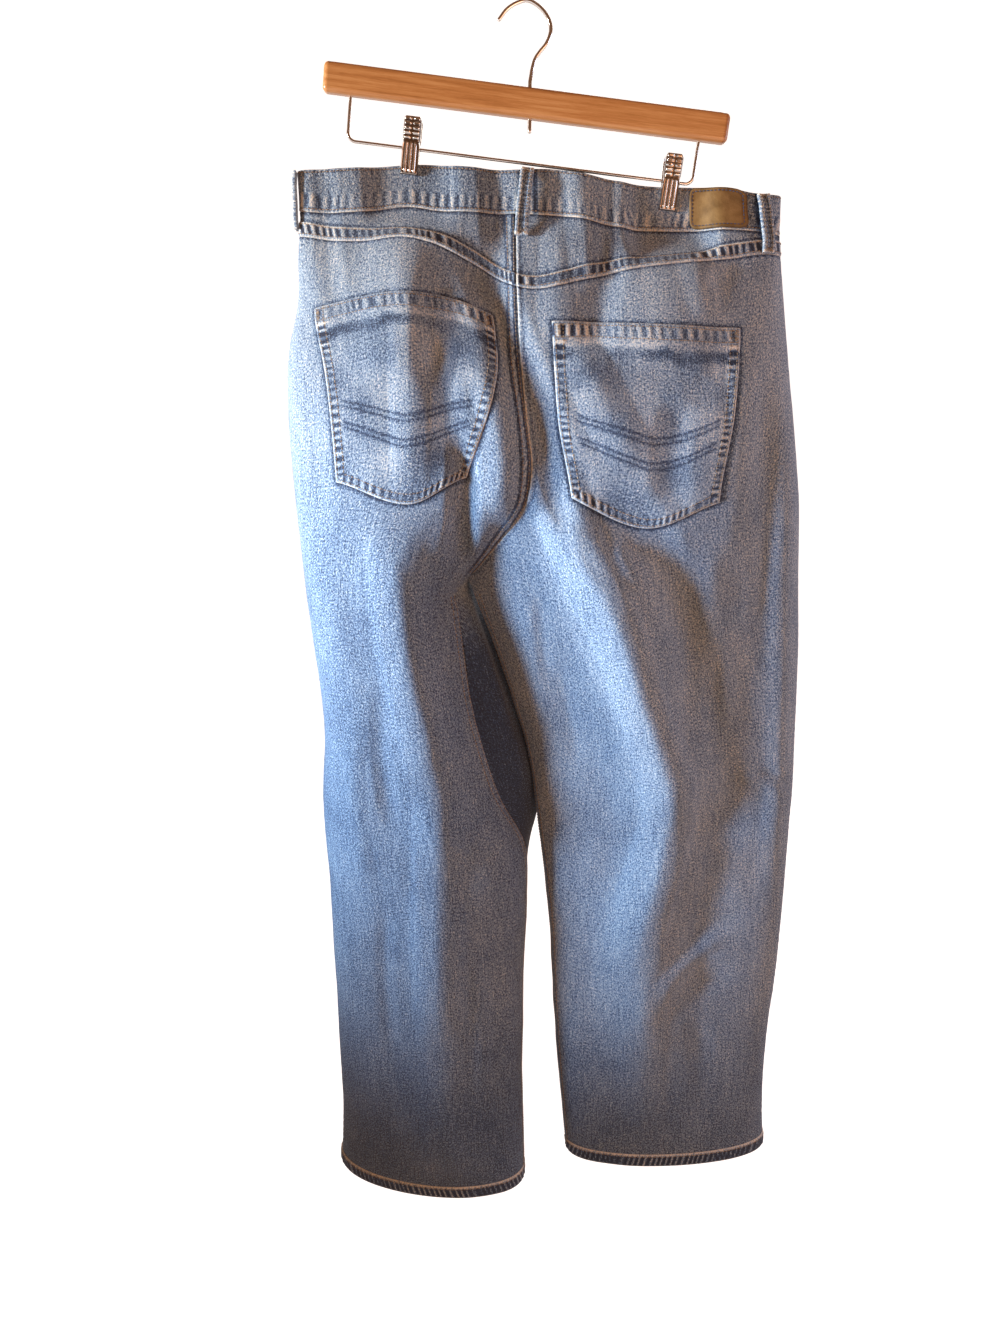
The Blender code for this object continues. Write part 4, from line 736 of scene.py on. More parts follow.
def back_columns(side, counts, powers=(1.5, 1, -1.3)):
    """Columns of the back at any heights: the pocket's two long edges are among them."""
    heights, inner_x, outer_x = zip(*POCKET_EDGES[side])
    total = sum(counts) + 1
    first, last = counts[0], counts[0] + counts[1]

    def around_of(height):
        height = np.broadcast_to(height, (len(height), total))
        start = moved(side, np.zeros(len(height)), height[:, 0], GAP / 2)
        inner = around_at_x(side, through(heights, inner_x, height[:, first]), height[:, first])
        outer = around_at_x(side, through(heights, outer_x, height[:, last]), height[:, last])
        stop = moved(side, np.ones(len(height)), height[:, -1], -GAP / 2)
        return blocks([start, inner, outer, stop], counts, powers).T

    return around_of


def pocket_columns(side, count):
    """Columns of a back pocket alone, from its inner long edge to its outer one."""
    heights, inner_x, outer_x = zip(*POCKET_EDGES[side])

    def around_of(height):
        height = np.broadcast_to(height, (len(height), count + 1))
        inner = around_at_x(side, through(heights, inner_x, height[:, 0]), height[:, 0])
        outer = around_at_x(side, through(heights, outer_x, height[:, -1]), height[:, -1])
        return blocks([inner, outer], (count,)).T

    return around_of


def mouth(side, height):
    """Around value of the front pocket's mouth: a scoop from the waistband to the outer seam."""
    top = across(BAND_LOW, OUTER_SEAM[side][1][1])
    down = np.clip((top - height) / MOUTH_DEPTH, 0, 1)
    return 1 + MOUTH_SHARE * np.cos(math.pi / 2 * down) ** MOUTH_ROUNDNESS


def front_columns(side, count, scooped):
    """Columns of the front at any heights, from the pocket mouth or the outer seam to the inner edge."""

    def around_of(height):
        height = height[:, 0]
        start = moved(side, np.full(len(height), 1 + 1e-6), height, GAP / 2)
        if scooped:
            start = np.maximum(start, mouth(side, height))
        stop = moved(side, np.full(len(height), 2.0), height, -GAP / 2)
        middle = (start + stop) / 2
        return blocks([start, middle, stop], (count // 2, count // 2), (1.4, -1.2)).T

    return around_of


def facing_columns(side, count):
    """Columns of the facing behind the front pocket's mouth, past the mouth's far end."""

    def around_of(height):
        start = moved(side, np.full(len(height), 1 + 1e-6), height[:, 0], FACING_START)
        stop = np.full(len(height), 1 + MOUTH_SHARE + FACING_UNDER)
        return blocks([start, stop], (count,)).T

    return around_of


def uneven(s, seed):
    """How strongly puckers show along a seam: from a quarter to full strength, by noise of 30 mm."""
    return 0.25 + 0.75 * soft_step(0.55 + 0.9 * noise_1(s, 0.030, seed))


def ripple(x, height, seed):
    """The unevenness of worn cloth in metres: noise of three sizes over x and height."""
    wide = 0.00075 * noise_2(x, height * 0.45, 0.036, seed)
    middle = 0.00035 * noise_2(x, height * 0.6, 0.015, seed + 1)
    return wide + middle + 0.00010 * noise_2(x, height, 0.006, seed + 2)


class Skin:
    """A grid of points with its unit normals, which pieces are made from and laid on.

    Rows run down. The normal is the cross of the step down and the step along, times the sign, and given
    normals without a sign set it. left, right, top and low are the distances in metres from the four edges
    along the grid's own lines. lift is how far the outer face stands off the grid, and wear runs
    from -1, dark, to 1, pale: the cloth's rubbed and unfaded places, and in some places painted shade and
    painted light.
    """

    def __init__(self, points, sign=None, normals=None):
        turned = np.cross(np.gradient(points, axis=0), np.gradient(points, axis=1))
        self.points = points
        self.sign = sign or (1 if (turned * normals).sum() > 0 else -1)
        self.normals = unit(self.sign * turned) if normals is None else normals
        along = np.linalg.norm(np.diff(points, axis=1), axis=-1)
        down = np.linalg.norm(np.diff(points, axis=0), axis=-1)
        self.left = np.concatenate([np.zeros((len(points), 1)), np.cumsum(along, axis=1)], axis=1)
        self.top = np.concatenate([np.zeros((1, points.shape[1])), np.cumsum(down, axis=0)], axis=0)
        self.right = self.left[:, -1:] - self.left
        self.low = self.top[-1:] - self.top
        self.u = self.left - self.left[:, [points.shape[1] // 2]]
        self.v = self.top
        self.lift = np.zeros(points.shape[:2])
        self.wear = np.zeros(points.shape[:2])

    def outer(self):
        """The points of the outer face."""
        return self.points + self.normals * self.lift[..., None]

    def at(self, rows, columns):
        """Outer points and normals at whole or part row and column numbers, straight between neighbours."""
        rows, columns = np.broadcast_arrays(np.asarray(rows, float), np.asarray(columns, float))
        r = np.clip(np.floor(rows).astype(int), 0, self.points.shape[0] - 2)
        c = np.clip(np.floor(columns).astype(int), 0, self.points.shape[1] - 2)
        down, along = (rows - r)[..., None], (columns - c)[..., None]
        found = []
        for grid_ in (self.outer(), self.normals):
            top = grid_[r, c] * (1 - along) + grid_[r, c + 1] * along
            low = grid_[r + 1, c] * (1 - along) + grid_[r + 1, c + 1] * along
            found.append(top * (1 - down) + low * down)
        return found[0], unit(found[1])

    def down_line(self, distance, inset, span=(0.0, 0.0)):
        """A line down the grid where a distance from its left or right edge has this value."""
        from_left = distance[0, 0] < distance[0, -1]
        near = (distance < inset) if from_left else (distance > inset)
        column = np.clip(near.sum(axis=1) - 1, 0, distance.shape[1] - 2)
        rows = np.arange(len(distance))
        a, b = distance[rows, column], distance[rows, column + 1]
        columns = column + np.clip((inset - a) / np.where(a == b, 1, b - a), 0, 1)
        keep = (self.top[rows, column] >= span[0]) & (self.low[rows, column] >= span[1])
        return self.at(rows[keep], columns[keep])

    def across_line(self, distance, inset, span=(0.0, 0.0)):
        """A line across the grid where a distance from its top or low edge has this value."""
        from_top = distance[0, 0] < distance[-1, 0]
        near = (distance < inset) if from_top else (distance > inset)
        row = np.clip(near.sum(axis=0) - 1, 0, distance.shape[0] - 2)
        columns = np.arange(distance.shape[1])
        a, b = distance[row, columns], distance[row + 1, columns]
        rows = row + np.clip((inset - a) / np.where(a == b, 1, b - a), 0, 1)
        keep = (self.left[row, columns] >= span[0]) & (self.right[row, columns] >= span[1])
        return self.at(rows[keep], columns[keep])

    def flat_size(self):
        """Width, length and area in metres of the cloth laid flat."""
        cell = np.cross(np.diff(self.points, axis=0)[:, :-1], np.diff(self.points, axis=1)[:-1])
        area = float(np.linalg.norm(cell, axis=-1).sum())
        width, length = float(self.left[:, -1].max()), float(self.top[-1].max())
        return width, length, min(area, width * length)


def mesh_piece(name, points, groups, finishes, wear=None):
    """An object of the points and of groups of faces: (faces, material slot, UV pairs of the corners)."""
    mesh = bpy.data.meshes.new(name)
    points = np.ascontiguousarray(points.reshape(-1, 3))
    corners = np.concatenate([faces.ravel() for faces, _, _ in groups])
    sizes = np.concatenate([np.full(len(faces), faces.shape[1]) for faces, _, _ in groups])
    slots = np.concatenate([np.full(len(faces), slot) for faces, slot, _ in groups])
    mesh.vertices.add(len(points))
    mesh.vertices.foreach_set("co", points.ravel())
    mesh.loops.add(len(corners))
    mesh.loops.foreach_set("vertex_index", corners.astype(np.int32))
    mesh.polygons.add(len(sizes))
    starts = np.concatenate([[0], np.cumsum(sizes)[:-1]])
    mesh.polygons.foreach_set("loop_start", starts.astype(np.int32))
    mesh.polygons.foreach_set("material_index", slots.astype(np.int32))
    if groups[0][2] is not None:
        layer = mesh.uv_layers.new(name="cloth")
        corner_uv = np.concatenate([uv.ravel() for _, _, uv in groups])
        layer.data.foreach_set("uv", corner_uv.astype(np.float32))
    if wear is not None:
        worn = mesh.attributes.new("wear", "FLOAT", "POINT")
        worn.data.foreach_set("value", wear.ravel().astype(np.float32))
    mesh.update(calc_edges=True)
    if mesh.validate():
        raise ValueError(name + " has faces that don't fit together")
    mesh.shade_smooth()
    mesh.set_sharp_from_angle(angle=math.radians(52))
    for finish in finishes:
        mesh.materials.append(finish)
    piece = bpy.data.objects.new(name, mesh)
    bpy.context.scene.collection.objects.link(piece)
    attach(piece, BODY)
    return piece


def wall_piece(name, skin, under, finishes, ring=False):
    """A closed wall between a skin's outer face and its grid moved by under, with rims all round.

    under is metres along the normals, a number or a grid. A ring's last column is one with its first.
    """
    rows, columns = skin.points.shape[:2]
    inner = skin.points + skin.normals * (np.zeros((rows, columns)) + under)[..., None]
    number = np.arange(rows * columns).reshape(rows, columns)
    place = number.copy()
    uv = np.stack([skin.u, -skin.v], axis=-1).reshape(-1, 2)
    if ring:
        number = np.concatenate([number, number[:, :1]], axis=1)
        step = np.linalg.norm(skin.points[:, 0] - skin.points[:, -1], axis=-1)
        last = np.stack([skin.u[:, -1] + step, -skin.v[:, -1]], axis=-1)
        place = np.concatenate([place, rows * columns + np.arange(rows)[:, None]], axis=1)
        uv = np.concatenate([uv, last])
    far = rows * columns

    def quads(index):
        corners = (index[:-1, :-1], index[1:, :-1], index[1:, 1:], index[:-1, 1:])
        return np.stack(corners, axis=-1).reshape(-1, 4)

    def rim(edge, beyond):
        return np.stack([edge[:-1], edge[1:], edge[1:] + beyond, edge[:-1] + beyond], axis=-1)

    edges = [(number[0], place[0]), (number[-1][::-1], place[-1][::-1])]
    if not ring:
        edges += [(number[:, 0][::-1], place[:, 0][::-1]), (number[:, -1], place[:, -1])]
    turn = [0, 1, 2, 3] if skin.sign > 0 else [3, 2, 1, 0]
    back = turn[::-1]
    groups = [(quads(number)[:, turn], 0, uv[quads(place)[:, turn]])]
    groups.append((quads(number)[:, back] + far, len(finishes) - 1, uv[quads(place)[:, back]]))
    for edge, edge_place in edges:
        groups.append((rim(edge, far)[:, turn], 0, uv[rim(edge_place, 0)[:, turn]]))
    points = np.concatenate([skin.outer().reshape(-1, 3), inner.reshape(-1, 3)])
    wear = np.concatenate([skin.wear.ravel(), np.zeros(far)])
    return mesh_piece(name, points, groups, finishes, wear)


def tube(name, path, radius, sides, finish, up=(0, 1, 0)):
    """A round wire along a path, with domed ends.

    A ring of points stands square to the path at each station: the up vector and its cross with the path.
    """
    path = np.asarray(path, float)
    along = unit(np.gradient(path, axis=0))
    flat = unit(np.cross(along, np.asarray(up, float)))
    over = unit(np.cross(flat, along))
    dome = np.radians([0, 30, 60, 85])
    start = [path[:1] - along[:1] * radius * math.sin(a) for a in dome[:0:-1]]
    stop = [path[-1:] + along[-1:] * radius * math.sin(a) for a in dome[1:]]
    thin = [math.cos(a) for a in dome[:0:-1]]
    centres = np.concatenate(start + [path] + stop)
    scale = np.concatenate([thin, np.ones(len(path)), thin[::-1]])
    extra = len(start)
    flat = np.concatenate([np.repeat(flat[:1], extra, 0), flat, np.repeat(flat[-1:], extra, 0)])
    over = np.concatenate([np.repeat(over[:1], extra, 0), over, np.repeat(over[-1:], extra, 0)])
    angle = np.arange(sides) * 2 * math.pi / sides
    ring = flat[:, None] * np.cos(angle)[:, None] + over[:, None] * np.sin(angle)[:, None]
    points = centres[:, None] + ring * radius * scale[:, None, None]
    return mesh_piece(name, points, tube_faces(len(centres), sides), [finish])


def tube_faces(stations, sides, first=0):
    """Quads between neighbouring rings and one flat face over each end ring."""
    number = first + np.arange(stations * sides).reshape(stations, sides)
    number = np.concatenate([number, number[:, :1]], axis=1)
    quads = np.stack([number[:-1, :-1], number[:-1, 1:], number[1:, 1:], number[1:, :-1]], axis=-1)
    caps = np.stack([number[0, :-1][::-1], number[-1, :-1]])
    return [(quads.reshape(-1, 4), 0, None), (caps, 0, None)]


def stitches(name, lines, finish, pitch=None, length=None, radius=None):
    """Sewing thread: one short arched grain per stitch along each line of (points, normals).

    Each grain has four rings of five points. Its ends dip into the cloth and its middle stands on it. The
    sewing settings give its size unless it is given.
    """
    sewing = bpy.context.scene.jeans_sewing
    pitch, length, radius = pitch or sewing.pitch, length or sewing.length, radius or sewing.thickness / 2
    dip = np.array([-0.7, 0.45, 0.45, -0.7]) * radius
    fat = np.array([0.35, 1.0, 1.0, 0.35]) * radius
    spread = np.array([-0.5, -0.28, 0.28, 0.5]) * length
    angle = np.arange(5) * 2 * math.pi / 5
    grains = []
    for points, normals in lines:
        run = np.concatenate([[0], np.cumsum(np.linalg.norm(np.diff(points, axis=0), axis=-1))])
        count = int(run[-1] / pitch)
        if count < 1:
            continue
        middle = (np.arange(count) + 0.5) * run[-1] / count
        at = middle[:, None] + spread
        centre = np.stack([np.interp(at, run, points[:, k]) for k in range(3)], axis=-1)
        normal = unit(np.stack([np.interp(at, run, normals[:, k]) for k in range(3)], axis=-1))
        along = unit(centre[:, -1:] - centre[:, :1])
        beside = unit(np.cross(along, normal))
        centre = centre + normal * dip[:, None]
        ring = beside[:, :, None] * np.cos(angle)[:, None] + normal[:, :, None] * np.sin(angle)[:, None]
        grains.append(centre[:, :, None] + ring * fat[:, None, None])
    points = np.concatenate(grains)
    shift = (np.arange(len(points)) * 20)[:, None, None]
    groups = []
    for faces, slot, _ in tube_faces(4, 5):
        groups.append(((faces[None] + shift).reshape(-1, faces.shape[1]), slot, None))
    piece = mesh_piece(name, points, groups, [finish])
    return piece


def colour(text):
    """Linear red, green, blue and 1 of an sRGB hex colour."""
    values = [int(text[k : k + 2], 16) / 255 for k in (1, 3, 5)]
    return tuple(v / 12.92 if v <= 0.04045 else ((v + 0.055) / 1.055) ** 2.4 for v in values) + (1.0,)


class Finish:
    """A material that is being put together from nodes."""

    def __init__(self, name, roughness, **sockets):
        self.material = bpy.data.materials.new(name)
        self.material.use_nodes = True
        self.tree = self.material.node_tree
        self.shader = self.tree.nodes["Principled BSDF"]
        self.shader.inputs["Roughness"].default_value = roughness
        for socket, value in sockets.items():
            self.shader.inputs[socket.replace("_", " ")].default_value = value

    def add(self, kind, inputs, out=0, stops=(), **settings):
        """One output of a new node. An input is a value or another node's output, and the stops of a colour
        ramp are pairs of a position and a hex or linear colour."""
        made = self.tree.nodes.new("ShaderNode" + kind)
        for key, value in settings.items():
            setattr(made, key, value)
        for key, value in inputs.items():
            if isinstance(value, bpy.types.NodeSocket):
                self.tree.links.new(value, made.inputs[key])
            else:
                made.inputs[key].default_value = value
        if stops:
            points = made.color_ramp.elements
            while len(points) < len(stops):
                points.new(0.5)
            for point, (position, shade) in zip(points, stops):
                point.position = position
                point.color = colour(shade) if isinstance(shade, str) else (*shade[:3], 1.0)
        return made.outputs[out]

    def mixed(self, value, gain, onto):
        """onto + gain * (value - 0.5)"""
        half = self.add("Math", {0: value, 1: 0.5}, operation="SUBTRACT")
        return self.add("Math", {0: half, 1: gain, 2: onto}, operation="MULTIPLY_ADD")

    def finish(self, shade=None, height=None, strength=0.4, depth=0.0005, roughness=None):
        """Joins a colour, a bump height and a roughness to the shader, as far as they are given."""
        normal = None
        if height is not None:
            normal = self.add("Bump", {"Height": height, "Strength": strength, "Distance": depth})
        for socket, value in (("Base Color", shade), ("Normal", normal), ("Roughness", roughness)):
            if value is not None:
                self.tree.links.new(value, self.shader.inputs[socket])
        return self.material


def cloth_place(made, across_mm, down_mm, turn=0.0):
    """The cloth's own coordinates in cells of so many millimetres across and down."""
    uv = made.add("UVMap", {}, uv_map="cloth")
    scale = (1000.0 / across_mm, 1000.0 / down_mm, 1.0)
    return made.add("Mapping", {"Vector": uv, "Scale": scale, "Rotation": (0, 0, turn)})


@cache
def denim():
    """Washed denim: pebbly indigo and white grain of 1 to 2 mm, streaks of the warp, twill, pale rubbed
    places and painted shade.
    """
    made = Finish("washed_denim", 0.88, Sheen_Weight=0.12, Sheen_Roughness=0.5)
    settings = bpy.context.scene.jeans_cloth
    wear = made.add("Attribute", {}, "Fac", attribute_name="wear")
    value = made.add("Math", {0: wear, 1: WEAR_AND_SHADE_GAIN, 2: 0.5}, operation="MULTIPLY_ADD")
    fields = []
    for grain in DENIM_GRAINS:
        inputs = {"Scale": 1.0, "Detail": grain.detail, "Roughness": grain.roughness}
        inputs["Vector"] = cloth_place(made, grain.across, grain.down)
        fields.append(made.add("TexNoise", inputs))
        value = made.mixed(fields[-1], grain.gain, value)
    place = cloth_place(made, 1.0, 1.0, TWILL_TURN)
    twill = made.add("TexWave", {"Vector": place, "Scale": 0.24, "Distortion": 0.6}, "Fac")
    value = made.mixed(twill, 0.06, value)
    shades = ((0.0, settings.deep), (0.28, settings.dark), (0.52, settings.middle), (0.76, settings.pale))
    shade = made.add("ValToRGB", {0: value}, stops=shades + ((1.0, settings.worn),))
    height = made.mixed(fields[0], 0.8, made.mixed(twill, 0.25, fields[1]))
    return made.finish(shade, height, 0.8, 0.0006)


@cache
def denim_reverse():
    """The pale back of the twill: white weft with a little indigo between."""
    made = Finish("denim_reverse", 0.9, Sheen_Weight=0.1)
    grain = {"Vector": cloth_place(made, 1.8, 2.2), "Scale": 1.0, "Detail": 4.0, "Roughness": 0.7}
    place = cloth_place(made, 1.0, 1.0, TWILL_TURN)
    twill = made.add("TexWave", {"Vector": place, "Scale": 0.22, "Distortion": 0.5}, "Fac")
    value = made.mixed(twill, 0.25, made.add("TexNoise", grain))
    shade = made.add("ValToRGB", {0: value}, stops=((0.2, "#6f8299"), (0.5, "#a9b4c0"), (0.8, "#d3d7da")))
    return made.finish(shade, value, 0.5, 0.0005)


def thread_finish(name, dark, pale):
    """Twisted sewing thread: a matte colour that varies from stitch to stitch, with fine ply."""
    made = Finish(name, 0.72, Sheen_Weight=0.2)
    place = made.add("TexCoord", {}, "Object")
    varied = made.add("TexNoise", {"Vector": place, "Scale": 420.0, "Detail": 2.0, "Roughness": 0.6})
    ply = made.add("TexNoise", {"Vector": place, "Scale": 2600.0, "Detail": 1.0, "Roughness": 0.6})
    shade = made.add("ValToRGB", {0: varied}, stops=((0.25, dark), (0.75, pale)))
    return made.finish(shade, ply, 0.4, 0.0002)


@cache
def tan_thread():
    """Sand brown topstitching, faded unevenly."""
    return thread_finish("tan_thread", "#6a5848", "#b3a18b")


@cache
def navy_thread():
    """Dark indigo tonal stitching."""
    return thread_finish("navy_thread", "#22324f", "#3c4f73")


@cache
def lacquered_wood():
    """Lotus wood under clear lacquer: honey brown, long grain along the bar, short dark pores."""
    made = Finish("lacquered_wood", 0.36, Coat_Weight=0.35, Coat_Roughness=0.16)
    place = made.add("TexCoord", {}, "Object")
    laid = {"Vector": place, "Rotation": (0, -HANGER_TILT, 0), "Scale": (1000.0, 1000.0, 1000.0)}
    along = made.add("Mapping", laid)
    band = made.add("Mapping", {"Vector": along, "Scale": (0.011, 0.30, 0.30)})
    pore = made.add("Mapping", {"Vector": along, "Scale": (0.12, 2.4, 2.4)})
    rings = made.add("TexNoise", {"Vector": band, "Scale": 1.0, "Detail": 4.0, "Roughness": 0.62})
    pores = made.add("TexNoise", {"Vector": pore, "Scale": 1.0, "Detail": 2.0, "Roughness": 0.7})
    stops = ((0.2, "#93602f"), (0.45, "#bb824c"), (0.62, "#cc9660"), (0.85, "#dcae7c"))
    shade = made.add("ValToRGB", {0: made.mixed(pores, 0.35, rings)}, stops=stops)
    return made.finish(shade, pores, 0.12, 0.0003)


@cache
def chrome():
    """Bright chrome plate, faintly warm and smudged, with painted shade in the grooves of the clips."""
    made = Finish("chrome_plate", 0.14, Metallic=1.0, Base_Color=colour("#d2ccc7"))
    place = made.add("TexCoord", {}, "Object")
    smudge = made.add("TexNoise", {"Vector": place, "Scale": 160.0, "Detail": 3.0, "Roughness": 0.6})
    rough = made.add("MapRange", {"Value": smudge, "To Min": 0.08, "To Max": 0.26})
    wear = made.add("Attribute", {}, "Fac", attribute_name="wear")
    painted_groove_shade = made.add("Math", {0: wear, 1: 1.0})
    shade = made.add("ValToRGB", {0: painted_groove_shade}, stops=((0.0, "#8a807a"), (1.0, "#d6cfca")))
    return made.finish(shade, roughness=rough)


@cache
def patch_leather():
    """Tanned leather: pebble grain of under 1 mm, uneven dye, darker pressed edges."""
    made = Finish("patch_leather", 0.55, Specular_IOR_Level=0.35)
    place = cloth_place(made, 1.0, 1.0)
    pebble = made.add("TexVoronoi", {"Vector": place, "Scale": 1.3, "Randomness": 1.0}, "Distance")
    cloud = made.add("TexNoise", {"Vector": place, "Scale": 0.09, "Detail": 4.0, "Roughness": 0.6})
    wear = made.add("Attribute", {}, "Fac", attribute_name="wear")
    value = made.add("Math", {0: wear, 1: 0.35, 2: cloud}, operation="MULTIPLY_ADD")
    stops = ((0.15, "#55401f"), (0.4, "#7a603a"), (0.62, "#8c7148"), (0.9, "#a2865a"))
    return made.finish(made.add("ValToRGB", {0: value}, stops=stops), pebble, 0.3, 0.0004)


@cache
def aged_brass():
    """Antique brass: brown metal, brighter where it is rubbed."""
    made = Finish("aged_brass_plate", 0.36, Metallic=1.0)
    place = made.add("TexCoord", {}, "Object")
    cloud = made.add("TexNoise", {"Vector": place, "Scale": 420.0, "Detail": 4.0, "Roughness": 0.6})
    stops = ((0.3, "#5f4629"), (0.6, "#8f7147"), (0.85, "#b59a6c"))
    return made.finish(made.add("ValToRGB", {0: cloud}, stops=stops), cloud, 0.1, 0.0002)


@cache
def zip_cotton():
    """Woven zip tape: beige ribs of 1 mm."""
    made = Finish("zip_cotton", 0.85)
    rib = made.add("TexWave", {"Vector": cloth_place(made, 1.0, 1.0), "Scale": 0.32}, "Fac")
    shade = made.add("ValToRGB", {0: rib}, stops=((0.2, "#8b7a63"), (0.8, "#b6a68c")))
    return made.finish(shade, rib, 0.4, 0.0003)


def studio_paper():
    """Matte white studio paper, so evenly lit that it has almost no shade."""
    stage = bpy.context.scene.jeans_stage
    glow = {"Emission_Color": (1.0, 1.0, 1.0, 1.0), "Emission_Strength": stage.paper_glow}
    made = Finish("studio_paper", 0.9, Base_Color=(*stage.paper, 1.0), Specular_IOR_Level=0.1, **glow)
    return made.material


def near(distance, width):
    """1 at an edge, falling softly to 0 at a width from it."""
    return soft_step(1 - distance / width)


def within(distance, low, high, soft=0.0012):
    """1 between two distances from an edge, with soft ends."""
    return soft_step((distance - low) / soft + 0.5) * soft_step((high - distance) / soft + 0.5)


@cache
def band_part(side):
    """The waistband's points on one side, back and front."""
    back = (BAND_TOP, lowered(BAND_LOW, -GAP / 2))
    front = (BAND_TOP, lowered(FRONT_BAND_LOW, -GAP / 2))
    rows = (6, 21)
    found = []
    around = (back_columns(side, (22, 58, 22)), front_columns(side, 84, False))
    for (top, low), columns in zip((back, front), around):
        found.append(grid(side, (top, lowered(top, 0.006), low), rows, columns))
    return found


@cache
def band_skin():
    """The whole waistband, from the front's left end round the back to its right end."""
    back_left, front_left = band_part(LEFT)
    back_right, front_right = band_part(RIGHT)
    parts = [front_left[:, ::-1], back_left[:, ::-1][:, 1:], back_right[:, 1:], front_right[:, 1:]]
    skin = Skin(np.concatenate(parts, axis=1), 1)
    run = skin.left
    gathered = pucker(run, 0.0088, 3) * within(skin.low, 0.0030, 0.0150, 0.0050)
    topped = pucker(run, 0.0060, 5) * within(skin.top, 0.0020, 0.0070, 0.0030)
    edge = near(skin.top, 0.0016) ** 2 + near(skin.low, 0.0016) ** 2
    groove = within(skin.low, 0.0022, 0.0034, 0.0010) + within(skin.top, 0.0018, 0.0030, 0.0010)
    skin.lift = BAND_PROUD + ripple(run, skin.top, 21) * 0.8 * (1 - edge)
    skin.lift += 0.00042 * gathered + 0.00018 * topped - 0.0011 * edge - 0.00025 * groove
    skin.wear = 1.15 * gathered + 0.45 * topped - 0.6 * groove + 0.15 * noise_1(run, 0.030, 8)
    skin.wear += 1.1 * near(skin.low, 0.0022) + 0.25 * near(skin.top, 0.0020)
    # Painted shadow: a dark line on the band along both long edges of each belt loop.
    for loop in BELT_LOOPS.values():
        on_face = skin.points[..., 1] < 0 if loop.face == "back" else skin.points[..., 1] > 0
        away = np.abs(skin.points[..., 0] - loop.top_x) - LOOP_WIDTH / 2
        skin.wear -= 1.3 * near(np.abs(away), 0.0035) * on_face
    return skin


@cache
def yoke_skin(side):
    """A back yoke. Its lowest 12 mm are the felled seam, and its inner edge is the centre seam."""
    edges = (lowered(BAND_LOW, GAP / 2), lowered(YOKE_SEAM, -0.0135), lowered(YOKE_SEAM, -GAP / 2))
    skin = Skin(grid(side, edges, (20, 20), back_columns(side, (30, 76, 34))), side)
    strip = within(skin.low, -0.01, 0.0125, 0.0016)
    ladder = pucker(skin.left, 0.0076, 31 + side) * within(skin.low, 0.0028, 0.0105, 0.0024)
    ladder = np.clip(1.8 * (ladder * uneven(skin.left, 33)), -1, 1)
    edges_of_strip = within(skin.low, 0.0108, 0.0126, 0.0012) + near(skin.low, 0.0020)
    x, height = skin.points[..., 0], skin.points[..., 2]
    skin.lift = ripple(x, height, 40) * (1 - near(skin.top, 0.004)) + 0.0010 * strip + 0.00030 * ladder
    topped = pucker(skin.left, 0.0062, 35) * near(skin.top, 0.007)
    skin.lift += -0.0009 * near(skin.low, 0.0016) ** 2 + 0.00022 * topped
    skin.wear = 1.25 * ladder - 0.45 * within(skin.low, 0.0028, 0.0105) + 0.9 * edges_of_strip
    skin.wear += 0.30 * pucker(skin.left, 0.0075, 37) * within(skin.low, 0.012, 0.020, 0.006)
    skin.wear += -1.1 * near(skin.top, 0.0040) - 0.6 * within(skin.low, 0.0128, 0.0156, 0.0014)
    centre_seam(skin, side)
    return skin


def centre_seam(skin, side):
    """The felled centre seat seam: a raised double strip on the left, and on the right a rolled edge."""
    above = soft_step((skin.points[..., 2] - CROTCH) / 0.012)
    wave = pucker(skin.v, 0.0036, 51)
    out = skin.left
    if side == LEFT:
        strip = within(out, -0.01, 0.0095, 0.0018)
        skin.lift = skin.lift + (0.0008 * strip - 0.0008 * near(out, 0.0012)) * above
        skin.lift += 0.00022 * wave * within(out, 0.002, 0.008, 0.002) * above
        groove = 1.1 * within(out, 0.0004, 0.0040) + 0.9 * within(out, 0.0078, 0.0110)
        pale = 0.35 * wave * strip + 0.10 * within(out, 0.0046, 0.0070)
        skin.wear = skin.wear + (pale - groove) * above
    else:
        skin.lift = skin.lift + 0.0005 * within(out, 0.0004, 0.0030, 0.0014) * above
        skin.wear = skin.wear + (near(out, 0.0022) - 0.35 * within(out, 0.0030, 0.0060)) * above


def pocket_painted_shadow(x, height, side):
    """Painted shadow: 1 along a back pocket's outline, falling to 0 at 4.5 mm from its rim points."""
    rim = pocket_skin(side).points
    rim = np.concatenate([rim[0], rim[:, 0], rim[:, -1], rim[-1]])[:, ::2]
    best = np.full(x.shape, np.inf)
    for spot_x, spot_z in rim[::3]:
        best = np.minimum(best, np.hypot(x - spot_x, height - spot_z))
    return near(best, 0.0045)


